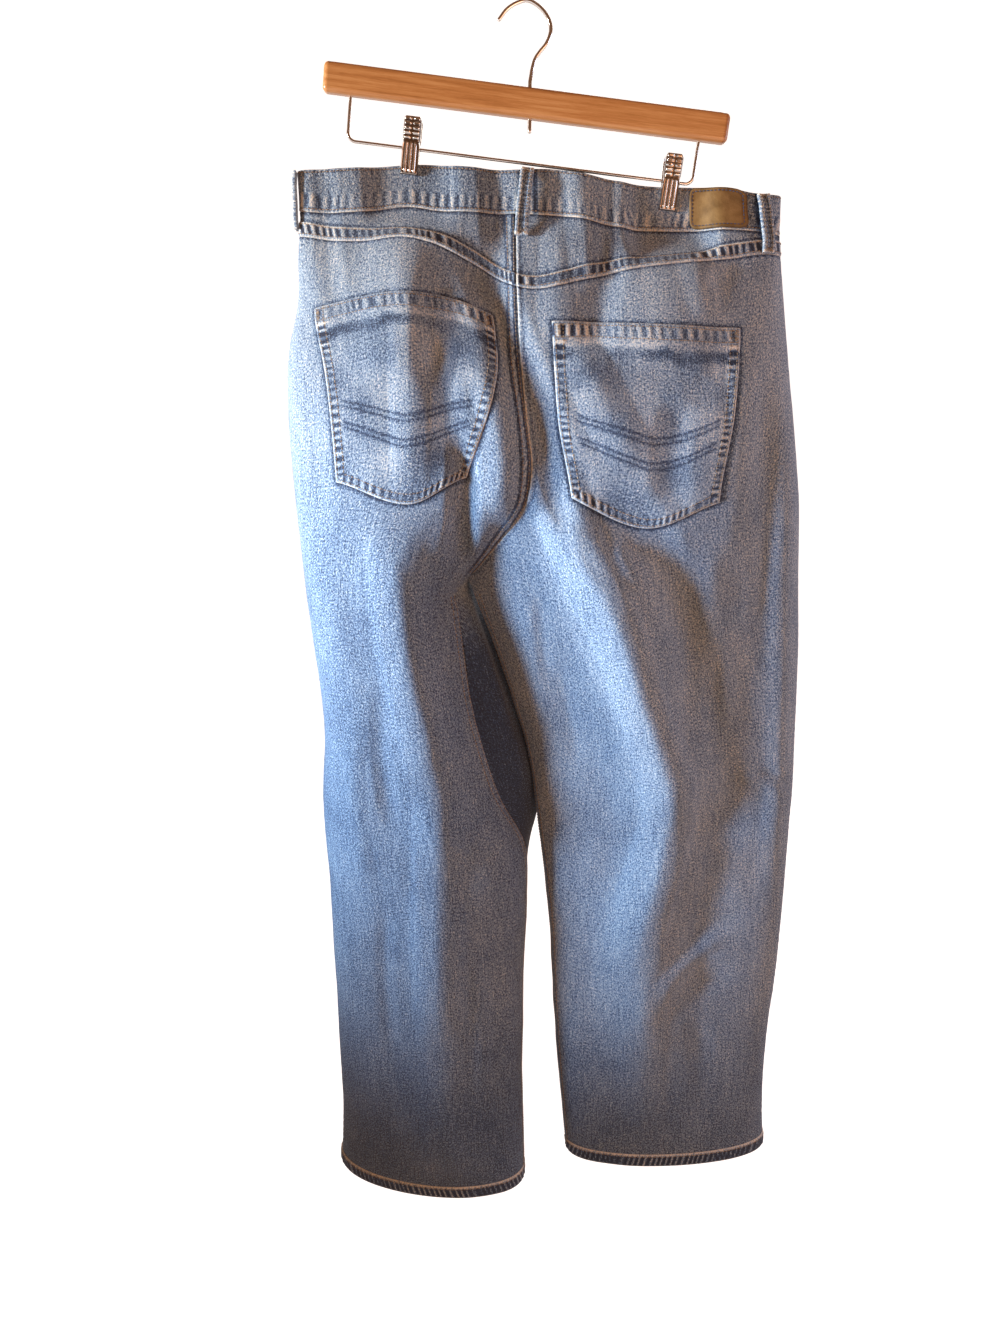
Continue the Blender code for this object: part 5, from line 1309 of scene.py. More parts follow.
@cache
def back_skin(side):
    """A back panel: seat and leg."""
    hem_top = HEM_EDGE[side] + HEM_HEIGHT + GAP
    edges = (lowered(YOKE_SEAM, GAP / 2), POCKET_TOP[side], POCKET_BOTTOM[side])
    edges += (CROTCH, PAST_CROTCH, hem_top)
    columns = back_columns(side, (30, 50, 26))
    skin = Skin(grid(side, edges, (26, 56, 34, 4, 236), columns, (1.2, 1, 1, 1, 1)), side)
    x, height = skin.points[..., 0], skin.points[..., 2]
    edge = near(skin.top, 0.004) + near(skin.right, 0.004) + near(skin.low, 0.004)
    skin.lift = ripple(x, height, 60 + side) * (1 - np.clip(edge, 0, 1))
    skin.lift += 0.00035 * pucker(skin.left, 0.0068, 61) * near(skin.top, 0.012)
    skin.lift += 0.00025 * pucker(skin.v, 0.0085, 63) * near(skin.right, 0.010)
    skin.wear = 0.30 * pucker(skin.left, 0.0068, 61) * near(skin.top, 0.012) - 1.0 * near(skin.top, 0.0030)
    skin.wear += 0.25 * pucker(skin.v, 0.0085, 63) * near(skin.right, 0.010)
    skin.wear += 0.35 * within(skin.right, 0.0010, 0.0040)
    # Painted shadow along the pocket's outline, and painted shade that darkens the leg towards the hem,
    # where the light falls off.
    skin.wear -= 1.3 * pocket_painted_shadow(x, height, side) + 0.35 * soft_step((-0.90 - height) / 0.2)
    # Painted light and shade: below the seat the left leg's back is painted darker and the right one's
    # lighter.
    skin.wear += LEG_PAINTED_LIGHT[side] * soft_step((-0.38 - height) / 0.12)
    skin.wear += 0.18 * soft_step((height + 0.46) / 0.16) - 0.10
    leg = 1 - soft_step((height - CROTCH + 0.010) / 0.010)
    skin.lift += 0.0005 * within(skin.left, 0.0004, 0.0085, 0.0020) * leg
    inseam = 0.35 * pucker(skin.v, 0.0060, 65) * near(skin.left, 0.011)
    skin.wear += (inseam - 0.2 * near(skin.left, 0.002)) * leg
    centre_seam(skin, side)
    return skin


@cache
def pocket_skin(side):
    """A back pocket, with its turned top, its double sewn border and the puckers of both."""
    edges = (POCKET_TOP[side], lowered(POCKET_TOP[side], 0.019), POCKET_BOTTOM[side])
    skin = Skin(grid(side, edges, (20, 96), pocket_columns(side, 122)), side)
    x, height = skin.points[..., 0], skin.points[..., 2]
    inner, outer = skin.left, skin.right
    border = np.minimum(np.minimum(inner, outer), skin.low)
    hem = within(skin.top, -0.01, 0.0150, 0.0020)
    body = 1 - hem
    ladder = pucker(inner, 0.0086, 71 + side) * within(skin.top, 0.0030, 0.0125, 0.0030) * uneven(inner, 78)
    ladder = np.clip(2.0 * ladder, -1, 1)
    around_edge = np.where(skin.low < np.minimum(inner, outer), inner, skin.v)
    cells = pucker(around_edge, 0.0068, 73 + side) * within(border, 0.0020, 0.0100, 0.0030) * body
    cells = np.clip(1.8 * cells * uneven(around_edge, 75), -1, 1)
    rolled = near(border, 0.0016) ** 2 + near(skin.top, 0.0018) ** 2
    ragged = 0.0030 * noise_1(inner, 0.012, 79)
    under_hem = within(skin.top + ragged, 0.0225, 0.0310, 0.0070) * uneven(inner, 76)
    skin.lift = GAP + POCKET_WALL + ripple(x, height, 60 + side) * soft_step(border / 0.004)
    skin.lift += 0.0008 * hem + 0.00040 * ladder + 0.00030 * cells - 0.0009 * rolled
    skin.lift += 0.0006 * within(skin.top, 0.0150, 0.0185, 0.0030)
    skin.lift -= 0.00025 * within(border, 0.0020, 0.0032, 0.0012)
    skin.wear = 1.20 * ladder + 0.05 * hem + 1.05 * cells - 0.30 * within(border, 0.0020, 0.0100) * body
    skin.wear += near(border, 0.0018) + 0.30 * within(skin.top, 0.0146, 0.0215, 0.0040) - under_hem
    clouds = noise_2(x, height, 0.022, 77) * (1 - near(border, 0.012))
    skin.wear += 0.7 * near(skin.top, 0.0020) + 0.35 * clouds
    number = np.arange(skin.points.shape[0])[:, None]
    share = np.linspace(0, 1, skin.points.shape[1])[None]
    for down in chevron_rows(skin, share):
        beside = np.abs(number - down) * skin.top[-1:] / (skin.points.shape[0] - 1)
        sewn = within(share, 0.10, 0.90, 0.01)
        skin.wear -= 0.65 * near(beside, 0.0026) * sewn
        skin.lift -= 0.0003 * near(beside, 0.0022) * sewn
    corner = near(skin.top, 0.022) * near(np.minimum(inner, outer), 0.016)
    skin.wear -= 0.7 * corner * within(skin.top, 0.0030, 0.0180, 0.0040)
    return skin


@cache
def front_skin(side):
    """A front panel, scooped at its pocket, with whiskers at the top of the thigh."""
    hem_top = HEM_EDGE[side] + HEM_HEIGHT + GAP
    edges = (lowered(FRONT_BAND_LOW, GAP / 2), MOUTH_LEVEL[side], CROTCH, PAST_CROTCH, hem_top)
    skin = Skin(grid(side, edges, (40, 76, 4, 200), front_columns(side, 60, True)), side)
    x, height = skin.points[..., 0], skin.points[..., 2]
    scoop = 1 - soft_step((skin.v - 0.100) / 0.010)
    rim = near(skin.left, 0.0016) ** 2
    skin.lift = ripple(x, height, 80 + side) * (1 - near(skin.left, 0.004)) * (1 - near(skin.top, 0.004))
    cells = pucker(skin.v, 0.0052, 81) * within(skin.left, 0.0016, 0.0095, 0.0030) * scoop
    skin.lift += 0.0006 * within(skin.left, 0.0008, 0.0095, 0.0016) * scoop + 0.00028 * cells - 0.0004 * rim
    gathered = pucker(skin.left, 0.008, 83) * near(skin.top, 0.012)
    skin.wear = 0.85 * cells + near(skin.left, 0.0018) + 0.35 * gathered
    thigh = np.exp(-(((height + 0.62) / 0.20) ** 2)) * np.exp(-(((skin.u) / 0.055) ** 2))
    # The thigh is faded paler; the leg is painted darker towards the hem, as painted shade where the light
    # falls off.
    skin.wear += 0.35 * thigh - 0.35 * soft_step((-0.90 - height) / 0.2)
    leg = 1 - soft_step((height - CROTCH + 0.010) / 0.010)
    skin.wear += 0.35 * pucker(skin.v, 0.0060, 85) * near(skin.right, 0.011) * leg
    # Painted shade on the front's inner thigh, which shows in the gap between the legs.
    painted_shade_between_legs = soft_step((CROTCH - height) / 0.09) * soft_step((height + 0.90) / 0.15)
    skin.wear -= 1.1 * near(skin.right, 0.17) * painted_shade_between_legs
    return skin


@cache
def facing_skin(side):
    """The facing that shows in the scoop of a front pocket."""
    foot = across(MOUTH_LEVEL[side], OUTER_SEAM[side][0][1]) - FACING_PAST
    skin = Skin(grid(side, (lowered(FRONT_BAND_LOW, 0.001), foot), (34,), facing_columns(side, 34)), side)
    skin.lift = -FACING_SUNK + 0.5 * ripple(skin.points[..., 0], skin.points[..., 2], 90)
    skin.wear = -0.25 + 0.2 * noise_2(skin.points[..., 0], skin.points[..., 2], 0.02, 91)
    return skin


@cache
def hem_skin(side):
    """A leg's turned hem, a ring roped by its chain stitch."""
    hem_top = HEM_EDGE[side] + HEM_HEIGHT
    edges = (hem_top, HEM_EDGE[side])
    back = grid(side, edges, (16,), back_columns(side, (40, 90, 40), (1, 1, 1)))
    front = grid(side, edges, (16,), front_columns(side, 160, False))
    skin = Skin(np.concatenate([back, front[:, 1:-1]], axis=1), side)
    # The rope leans: its ridges run down and along.
    rope = pucker(skin.left + 0.35 * skin.v, 0.0058, 95) * within(skin.low, 0.0016, 0.0120, 0.0040)
    rolled = near(skin.low, 0.0030) ** 2 + near(skin.top, 0.0014) ** 2
    skin.lift = HEM_PROUD + 0.00065 * rope - 0.0011 * rolled + 0.0006 * noise_1(skin.left, 0.028, 97)
    skin.wear = 1.7 * rope - 1.1 * within(skin.low, 0.0016, 0.0120) + 1.3 * near(skin.top, 0.0024)
    skin.wear += 0.8 * near(skin.low, 0.0014)
    return skin


def stands_for(node):
    """Hides the imported node that a piece takes the place of."""
    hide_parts(node)


def sew(name, node, skin, under, threads, reverse=True, ring=False):
    """A cloth piece with its threads (name, lines, finish) sewn on. Its cut size is found but not kept."""
    finishes = [denim(), denim_reverse()] if reverse else [denim()]
    piece = wall_piece(name, skin, under, finishes, ring)
    sewn = [stitches(*thread) for thread in threads]
    stands_for(node)
    width, down, area = skin.flat_size()


def bar_tack(skin, row, column, down, width=0.0030, turns=7):
    """A short dense zigzag: the line of a bar tack at a place of a skin, running down or across it."""
    t = np.linspace(-0.5, 0.5, 2 * turns + 1)
    side = (np.arange(2 * turns + 1) % 2 - 0.5) * width
    centre, normal = skin.at(np.array(float(row)), np.array(float(column)))
    further, _ = skin.at(np.array(float(row) + 1), np.array(float(column)))
    fall = unit(further - centre)
    beside = unit(np.cross(fall, normal))
    along, over = (fall, beside) if down else (beside, fall)
    points = centre + 0.008 * t[:, None] * along + side[:, None] * over
    return points, np.repeat(normal[None], len(points), 0)


def chevron_rows(skin, share):
    """Row numbers of the pocket's plain design: two shallow double chevrons along the pocket's foot."""
    rows, columns = skin.points.shape[:2]
    dip = 0.012 * (1 - np.abs(2 * share - 1))
    length = skin.top[-1, columns // 2]
    return [(length - height + dip) / length * (rows - 1) for height in CHEVRONS]


def chevrons(skin):
    """The sewing lines of that design."""
    share = np.linspace(0.10, 0.90, 120)
    return [skin.at(down, share * (skin.points.shape[1] - 1)) for down in chevron_rows(skin, share)]


def strip_skin(side, face, line, width, columns, thickness):
    """A narrow strip along a line of (x, height, lift) on the cloth, as a skin of its own."""
    x, height, lift = (np.asarray(part, float) for part in line)
    around = around_at_x(side, x, height, face)
    points = cloth(side, around, height)
    step = np.where(around > (0.5 if face == "back" else 1.5), -0.004, 0.004)
    beside = cloth(side, around + step, height) - points
    normals = unit(np.cross(np.gradient(points, axis=0), beside))
    normals = normals * np.sign((-1 if face == "back" else 1) * normals[:, 1:2])
    centre = points + normals * lift[:, None]
    across_it = unit(np.cross(np.gradient(centre, axis=0), normals))
    spread = np.linspace(-0.5, 0.5, columns + 1) * width
    strip = centre[:, None] + across_it[:, None] * spread[None, :, None]
    skin = Skin(strip, normals=np.repeat(normals[:, None], columns + 1, 1))
    skin.lift = np.full(strip.shape[:2], thickness)
    return skin


def part_of(line, keep):
    """The points and normals of a line where a test of the heights holds."""
    points, normals = line
    kept = keep(points[:, 2])
    return points[kept], normals[kept]


def make_waistband():
    """The waistband with its two rows of stitches."""
    skin = band_skin()
    low = [skin.across_line(skin.low, BAND_ROW_LOW, (0.003, 0.003))]
    top = [skin.across_line(skin.top, BAND_ROW_TOP, (0.003, 0.003))]
    threads = [("waistband_low_stitch", low, tan_thread()), ("waistband_top_stitch", top, tan_thread())]
    sew("waistband_cloth", "waistband", skin, BAND_PROUD - DOUBLED_WALL, threads)


def make_yokes():
    """Both back yokes with the rows of their felled seams."""
    for side, name in SIDE_NAMES.items():
        skin = yoke_skin(side)
        lines = [skin.across_line(skin.low, inset, (0.004, 0.001)) for inset in YOKE_ROWS]
        if side == LEFT:
            lines += [skin.down_line(skin.left, inset, (0.001, 0.014)) for inset in SEAM_ROWS]
        threads = [("yoke_stitch_" + name, lines, tan_thread())]
        sew("yoke_cloth_" + name, "back_yoke_" + name, skin, -CLOTH_WALL, threads)


def make_back_panels():
    """Both back panels. The seat seam is sewn on its left side, the inside leg seams on both."""
    for side, name in SIDE_NAMES.items():
        skin = back_skin(side)
        lines = []
        for inset in SEAM_ROWS:
            line = skin.down_line(skin.left, inset, (0.002, 0.0))
            if side == LEFT:
                lines.append(part_of(line, lambda height: height > CROTCH + 0.006))
            lines.append(part_of(line, lambda height: height < CROTCH - 0.012))
        threads = [("back_panel_stitch_" + name, lines, tan_thread())]
        sew("back_panel_cloth_" + name, "back_panel_" + name, skin, -CLOTH_WALL, threads)


def make_back_pockets():
    """Both back pockets with their double border, bar tacks and plain design."""
    for side, name in SIDE_NAMES.items():
        skin = pocket_skin(side)
        x, height = skin.points[..., 0], skin.points[..., 2]
        border = np.minimum(np.minimum(skin.left, skin.right), skin.low)
        under = GAP + ripple(x, height, 60 + side) * soft_step(border / 0.004)
        lines = []
        for inset in POCKET_ROWS:
            lines.append(skin.down_line(skin.left, inset, (0.001, inset)))
            lines.append(skin.down_line(skin.right, inset, (0.001, inset)))
            lines.append(skin.across_line(skin.low, inset, (inset, inset)))
        lines += [skin.across_line(skin.top, inset, (0.002, 0.002)) for inset in POCKET_HEM_ROWS]
        last = skin.points.shape[1] - 1
        lines += [bar_tack(skin, 8, 4, True), bar_tack(skin, 8, last - 4, True)]
        threads = [("back_pocket_stitch_" + name, lines, tan_thread())]
        threads.append(("back_pocket_chevron_" + name, chevrons(skin), navy_thread()))
        sew("back_pocket_cloth_" + name, "back_pocket_" + name, skin, under, threads)


def make_fronts():
    """Both front panels and the facings behind their pocket mouths. The left one has the fly's rows."""
    for side, name in SIDE_NAMES.items():
        skin = front_skin(side)
        foot = across(MOUTH_LEVEL[side], side * 0.2) - 0.002
        rows = [(skin.left, inset, foot) for inset in MOUTH_ROWS]
        if side == LEFT:
            rows += [(skin.right, inset, FLY_ROWS_END) for inset in FLY_ROWS]
        lines = []
        for distance, inset, stop in rows:
            line = skin.down_line(distance, inset, (0.001, 0.0))
            lines.append(part_of(line, lambda height: height > stop))
        threads = [("front_panel_stitch_" + name, lines, tan_thread())]
        sew("front_panel_cloth_" + name, "front_panel_" + name, skin, -CLOTH_WALL, threads)
        under = -FACING_SUNK - POCKET_WALL
        sew("facing_cloth_" + name, "pocket_facing_" + name, facing_skin(side), under, [])


def make_hems():
    """Both turned hems, each a closed ring."""
    for side, name in SIDE_NAMES.items():
        skin = hem_skin(side)
        threads = [("leg_hem_stitch_" + name, [skin.across_line(skin.top, HEM_ROW)], tan_thread())]
        under = HEM_PROUD - DOUBLED_WALL
        sew("leg_hem_cloth_" + name, "leg_hem_" + name, skin, under, threads, False, True)


def make_fly():
    """The fly placket with its curved stitching, the zip behind it and the waist button."""
    front = front_skin(LEFT)
    rows_down = 72
    last = front.points.shape[1] - 1
    rows = np.linspace(0.8, 63.0, rows_down + 1)
    pitch = np.interp(rows, np.arange(len(front.points)), front.left[:, last] - front.left[:, last - 6]) / 6
    down = np.clip((rows - rows[-24]) / (rows[-1] - rows[-24]), 0, 1)
    width = PLACKET_WIDTH * np.sqrt(1 - 0.9 * down**2) / pitch
    columns = last - 0.1 - width[:, None] * np.linspace(1, 0, 25)
    points, normals = front.at(rows[:, None], columns)
    skin = Skin(points, LEFT, normals)
    rim = near(np.minimum(skin.left, skin.low), 0.0016)
    cells = pucker(skin.v, 0.0060, 99) * within(skin.left, 0.0016, 0.0090, 0.0030)
    skin.lift = 3 * GAP + PLACKET_WALL + 0.00022 * cells - 0.0005 * rim**2
    skin.wear = 0.8 * cells + 0.9 * rim
    lines = [skin.down_line(skin.left, inset, (0.001, 0.002)) for inset in PLACKET_ROWS]
    threads = [("fly_placket_stitch", lines, tan_thread())]
    sew("fly_placket_cloth", "fly_placket", skin, 3 * GAP, threads)
    make_zip()
    make_button()


def make_zip():
    """Woven tape with two rows of teeth, a slider at the top and its pull."""
    height = np.linspace(*ZIP_HEIGHTS, 61)
    line = cloth(LEFT, np.full(height.shape, 2.0), height)
    behind = Skin(cloth(LEFT, np.linspace(1.94, 2.0, 7)[None], height[:, None]), LEFT)
    normals = unit(behind.normals[:, -2] * (1, 1, 0.2))
    beside = unit(np.cross(np.gradient(line, axis=0), normals))
    sunk = line - normals * ZIP_SUNK
    wide = (np.linspace(-0.5, 0.5, 13) * ZIP_WIDTH)[None, :, None]
    tape = Skin(sunk[:, None] + beside[:, None] * wide, normals=np.repeat(normals[:, None], 13, 1))
    tape.lift += 0.0003 * within(tape.left, 0.0095, 0.0145, 0.0010)
    piece = wall_piece("zip_tape", tape, -0.0009, [zip_cotton()])
    run = np.concatenate([[0], np.cumsum(np.linalg.norm(np.diff(sunk, axis=0), axis=-1))])
    count = int(run[-1] / TOOTH_PITCH)
    at = (np.arange(count) + 0.5) * TOOTH_PITCH
    centre = np.stack([np.interp(at, run, sunk[:, k]) for k in range(3)], axis=-1)
    out = np.stack([np.interp(at, run, normals[:, k]) for k in range(3)], axis=-1)
    wide = unit(np.cross(unit(np.gradient(centre, axis=0)), out))
    # Every second tooth stands to the other side of the middle.
    hand = np.where(np.arange(count) % 2, 1.0, -1.0)[:, None] * 0.0008
    start, stop = (centre + wide * (hand + end) + out * 0.0006 for end in (-0.0020, 0.0020))
    lines = [(np.stack([start[k], stop[k]]), np.stack([out[k], out[k]])) for k in range(count)]
    teeth = stitches("zip_teeth", lines[0::2] + lines[1::2], aged_brass(), 0.0039, 0.0040, 0.00075)
    angle = np.arange(24)[:, None] * 2 * math.pi / 24
    top, over, aside, fall = sunk[2], normals[2], beside[2], unit(sunk[3] - sunk[2])
    rings = [
        top + fall * fallen + aside * np.cos(angle) * half + over * (0.0012 + 0.0016 * np.sin(angle))
        for half, fallen in ZIP_SLIDER
    ]
    faces = [(quads[:, ::-1], slot, uv) for quads, slot, uv in tube_faces(len(rings), 24)]
    slider = mesh_piece("zip_slider", np.array(rings), faces, [aged_brass()])
    pull_path = top + over * 0.0034 + fall * np.linspace(0.001, 0.016, 24)[:, None]
    pull = tube("zip_pull", pull_path, 0.0008, 12, aged_brass(), up=tuple(over))
    stands_for("fly_zip")


def spun(name, profile, centre, axis, finish, steps=64):
    """A turned piece: rings of the (radius, height) profile about an axis, closed by a face at each end."""
    axis = unit(np.asarray(axis, float))
    first = unit(np.cross(axis, (0.0, 0.0, 1.0)))
    second = np.cross(axis, first)
    angle = np.arange(steps) * 2 * math.pi / steps
    ring = first * np.cos(angle)[:, None] + second * np.sin(angle)[:, None]
    points = np.array([centre + ring * radius + axis * height for radius, height in profile])
    return mesh_piece(name, points, tube_faces(len(profile), steps), [finish])


def make_button():
    """A shank button with a rolled rim, a dished face and a small boss, on the waistband's lapped end."""
    skin = band_skin()
    middle = skin.points.shape[0] // 2
    column = int((skin.left[middle] < BUTTON_FROM_END).sum())
    centre = skin.points[middle, column] + skin.normals[middle, column] * (BAND_PROUD + GAP)
    button = spun("waist_button_brass", BUTTON, centre, skin.normals[middle, column], aged_brass())
    stands_for("waist_button")


def make_belt_loops():
    """Five loops: a folded strip with sewn edges, tacked at both ends and standing off between."""
    for name, loop in BELT_LOOPS.items():
        share = np.linspace(0, 1, 61)
        height = loop.top + (loop.foot - loop.top) * share
        x = loop.top_x + (loop.foot_x - loop.top_x) * share
        lift = LOOP_SEWN_LIFT + loop.stand_off * np.clip(LOOP_FLATNESS * np.sin(math.pi * share), 0, 1)
        skin = strip_skin(loop.side, loop.face, (x, height, lift), LOOP_WIDTH, 22, LOOP_WALL)
        edge = np.minimum(skin.left, skin.right)
        cells = pucker(skin.v, 0.0044, 101 + len(name))
        skin.lift += 0.00045 * within(edge, 0.0008, 0.0032, 0.0012) - 0.0007 * near(edge, 0.0010) ** 2
        skin.lift += -0.00035 * within(edge, 0.0040, 0.0070, 0.0016) + 0.00015 * cells
        skin.wear = 0.12 * within(edge, -0.001, 0.0026, 0.0014)
        skin.wear -= 0.45 * within(edge, 0.0032, 0.0070, 0.0014)
        skin.wear += 0.45 * cells + 0.9 * near(np.minimum(skin.top, skin.low), 0.004)
        lines = [skin.down_line(skin.left, LOOP_ROW), skin.down_line(skin.right, LOOP_ROW)]
        middle = skin.points.shape[1] // 2
        lines += [bar_tack(skin, row, middle, False) for row in (3, 57)]
        threads = [("belt_loop_stitch_" + name, lines, tan_thread())]
        sew("belt_loop_cloth_" + name, "belt_loop_" + name, skin, 0.0, threads, False)


def make_patch():
    """The leather patch: rounded corners, a skived edge and a line of dark stitching, left bare."""
    band = band_skin()
    columns, rows = 64, 48
    middle = band.points.shape[0] // 2
    numbers = np.arange(band.points.shape[1])
    back = band.points[middle, :, 1] < 0
    first, last = np.interp(PATCH_X, band.points[middle, back, 0], numbers[back])
    width = band.left[middle, int(last)] - band.left[middle, int(first)]
    height = band.top[-1, int(first)]
    across_it, down_it = np.linspace(-1, 1, columns + 1), np.linspace(-1, 1, rows + 1)
    s, t = np.meshgrid(across_it * width / 2, down_it * height / 2)
    radius = PATCH_CORNER
    past_s = np.clip((np.abs(s) - width / 2 + radius) / radius, 0, 1)
    past_t = np.clip((np.abs(t) - height / 2 + radius) / radius, 0, 1)
    # Each corner's little square of the grid is drawn in to a quarter of a disc.
    s = np.sign(s) * (np.abs(s) - past_s * radius * (1 - np.sqrt(1 - past_t**2 / 2)))
    t = np.sign(t) * (np.abs(t) - past_t * radius * (1 - np.sqrt(1 - past_s**2 / 2)))

    def on_band(s, t, lift):
        """Points and normals over the waistband at s across and t down from the patch's middle."""
        over = Skin(band.points, 1, band.normals)
        over.lift = np.full(band.lift.shape, lift)
        row = row_number(band, (t / height + 0.5) * 0.96 + 0.02)
        return over.at(row, first + (s / width + 0.5) * (last - first))

    points, normals = on_band(s, t, BAND_PROUD + 2 * GAP)
    skin = Skin(points, 1, normals)
    core_s, core_t = width / 2 - radius, height / 2 - radius
    out_s, out_t = np.maximum(np.abs(s) - core_s, 0), np.maximum(np.abs(t) - core_t, 0)
    edge = radius - np.hypot(out_s, out_t)
    skin.u, skin.v = s, t
    groove = within(edge, 0.0022, 0.0034, 0.0010)
    skin.lift = PATCH_WALL - 0.0007 * near(edge, 0.0014) ** 2 - 0.00025 * groove
    skin.lift += 0.00025 * noise_2(s, t, 0.012, 111)
    skin.wear = -0.9 * near(edge, 0.0016) - 0.5 * groove + 0.35 * noise_2(s, t, 0.010, 113)
    piece = wall_piece("patch_leather_bare", skin, 0.0, [patch_leather()])
    turn = np.linspace(0, 2 * math.pi, 220)
    loop_s = np.clip(np.cos(turn) * width, -core_s, core_s) + (radius - PATCH_ROW) * np.cos(turn)
    loop_t = np.clip(np.sin(turn) * width, -core_t, core_t) + (radius - PATCH_ROW) * np.sin(turn)
    line = on_band(loop_s, loop_t, BAND_PROUD + 2 * GAP + PATCH_WALL - 0.0002)
    sewn = stitches("patch_stitch", [line], navy_thread())
    stands_for("leather_patch")


def row_number(band, share):
    """Row numbers of the waistband at shares of its height, where its rows aren't evenly spaced."""
    middle = band.points.shape[1] // 2
    steps = band.top[:, middle] / band.top[-1, middle]
    return np.interp(share, steps, np.arange(len(steps)))


def hung(points):
    """Points of the hanger's own frame, turned about the hook's crest by the tilt at which it hangs."""
    points = np.asarray(points, float)
    x, y, z = points[..., 0], points[..., 1], points[..., 2]
    c, s = math.cos(HANGER_TILT), math.sin(HANGER_TILT)
    return np.stack([x * c + z * s, y, z * c - x * s], axis=-1)


def make_bar():
    """The wooden bar: a rounded rectangle swept between two ends rounded by the same radius."""
    r = BAR_ROUNDING
    quarter = np.radians(np.linspace(0, 90, 9))
    angle = np.concatenate([quarter + k * math.pi / 2 for k in range(4)])
    corner_y = np.repeat([1, -1, -1, 1], 9) * (BAR_THICK / 2 - r)
    corner_z = np.repeat([1, 1, -1, -1], 9) * (BAR_HEIGHT / 2 - r)
    tips = np.radians(np.linspace(4, 90, 10))
    run = np.linspace(-1, 1, 90)
    half = BAR_LENGTH / 2 - r
    x = np.concatenate([-half - r * np.cos(tips), run * half, (half + r * np.cos(tips))[::-1]])
    size = np.concatenate([r * np.sin(tips), np.full(90, r), (r * np.sin(tips))[::-1]])
    y = corner_y + size[:, None] * np.cos(angle)
    z = corner_z + size[:, None] * np.sin(angle)
    points = np.stack([BAR_X + np.broadcast_to(x[:, None], y.shape), y, BAR_Z + z], axis=-1)
    bar = mesh_piece("hanger_bar_wood", hung(points), tube_faces(len(x), len(angle)), [lacquered_wood()])
    stands_for("hanger_bar")


def smooth_path(line, count):
    """Points spread evenly along a smooth curve through a line of x, z points in the hanger's plane."""
    knots = np.arange(len(line))
    at = np.linspace(0, knots[-1], 12 * len(line))
    x, z = (through(knots, [p[k] for p in line], at) for k in (0, 1))
    run = np.concatenate([[0], np.cumsum(np.hypot(np.diff(x), np.diff(z)))])
    even = np.linspace(0, run[-1], count)
    return np.stack([np.interp(even, run, x), np.zeros(count), np.interp(even, run, z)], axis=-1)


def make_wires():
    """The hook with its shank through the bar and a small peened end, and the clip wire under the bar."""
    bend = smooth_path(HOOK_LINE, 150)
    start, stop = np.array([SHANK_TOP[0], 0, SHANK_TOP[1]]), np.array([SHANK_END[0], 0, SHANK_END[1]])
    shank = start + (stop - start) * np.linspace(0, 1, 40)[:, None]
    hook = tube("hanger_hook_wire", hung(np.concatenate([bend, shank])), HOOK_WIRE / 2, 20, chrome())
    stands_for("hanger_hook")
    half, radius = CLIP_WIRE_HALF, CLIP_WIRE_CORNER
    turn = np.radians(np.linspace(0, 90, 16))
    drop = np.linspace(BAR_Z - BAR_HEIGHT / 2 + CLIP_WIRE_DEEP, CLIP_WIRE_Z + radius, 16)
    corner = (half - radius + radius * np.cos(turn), CLIP_WIRE_Z + radius - radius * np.sin(turn))
    straight = np.stack([np.full(15, half), drop[:-1]], axis=-1)
    right = np.concatenate([straight, np.stack(corner, axis=-1)])
    low = np.linspace(half - radius, radius - half, 120)[1:-1]
    level_part = np.stack([low, np.full(len(low), CLIP_WIRE_Z)], axis=-1)
    path = np.concatenate([right, level_part, right[::-1] * (-1, 1)])
    points = np.stack([BAR_X + path[:, 0], np.zeros(len(path)), path[:, 1]], axis=-1)
    wire = tube("clip_wire_bent", hung(points), CLIP_WIRE / 2, 16, chrome())
    stands_for("clip_wire")


def jaw_relief(share, up):
    """Raised pattern of a jaw: four flutes below, two columns of six bars above."""
    flutes = soft_step(0.5 + 0.9 * np.cos(2 * math.pi * share * JAW_FLUTES)) * soft_step((up - 0.03) / 0.05)
    flutes = flutes * soft_step((JAW_PADS_FROM - 0.02 - up) / 0.04)
    bars = soft_step(0.5 - 1.1 * np.cos(2 * math.pi * (up - JAW_PADS_FROM) / JAW_PAD_PITCH))
    columns = soft_step(0.3 + 1.6 * np.abs(np.sin(2 * math.pi * share)) - 0.6)
    return np.where(up > JAW_PADS_FROM, columns * bars * (up < 0.985), flutes)


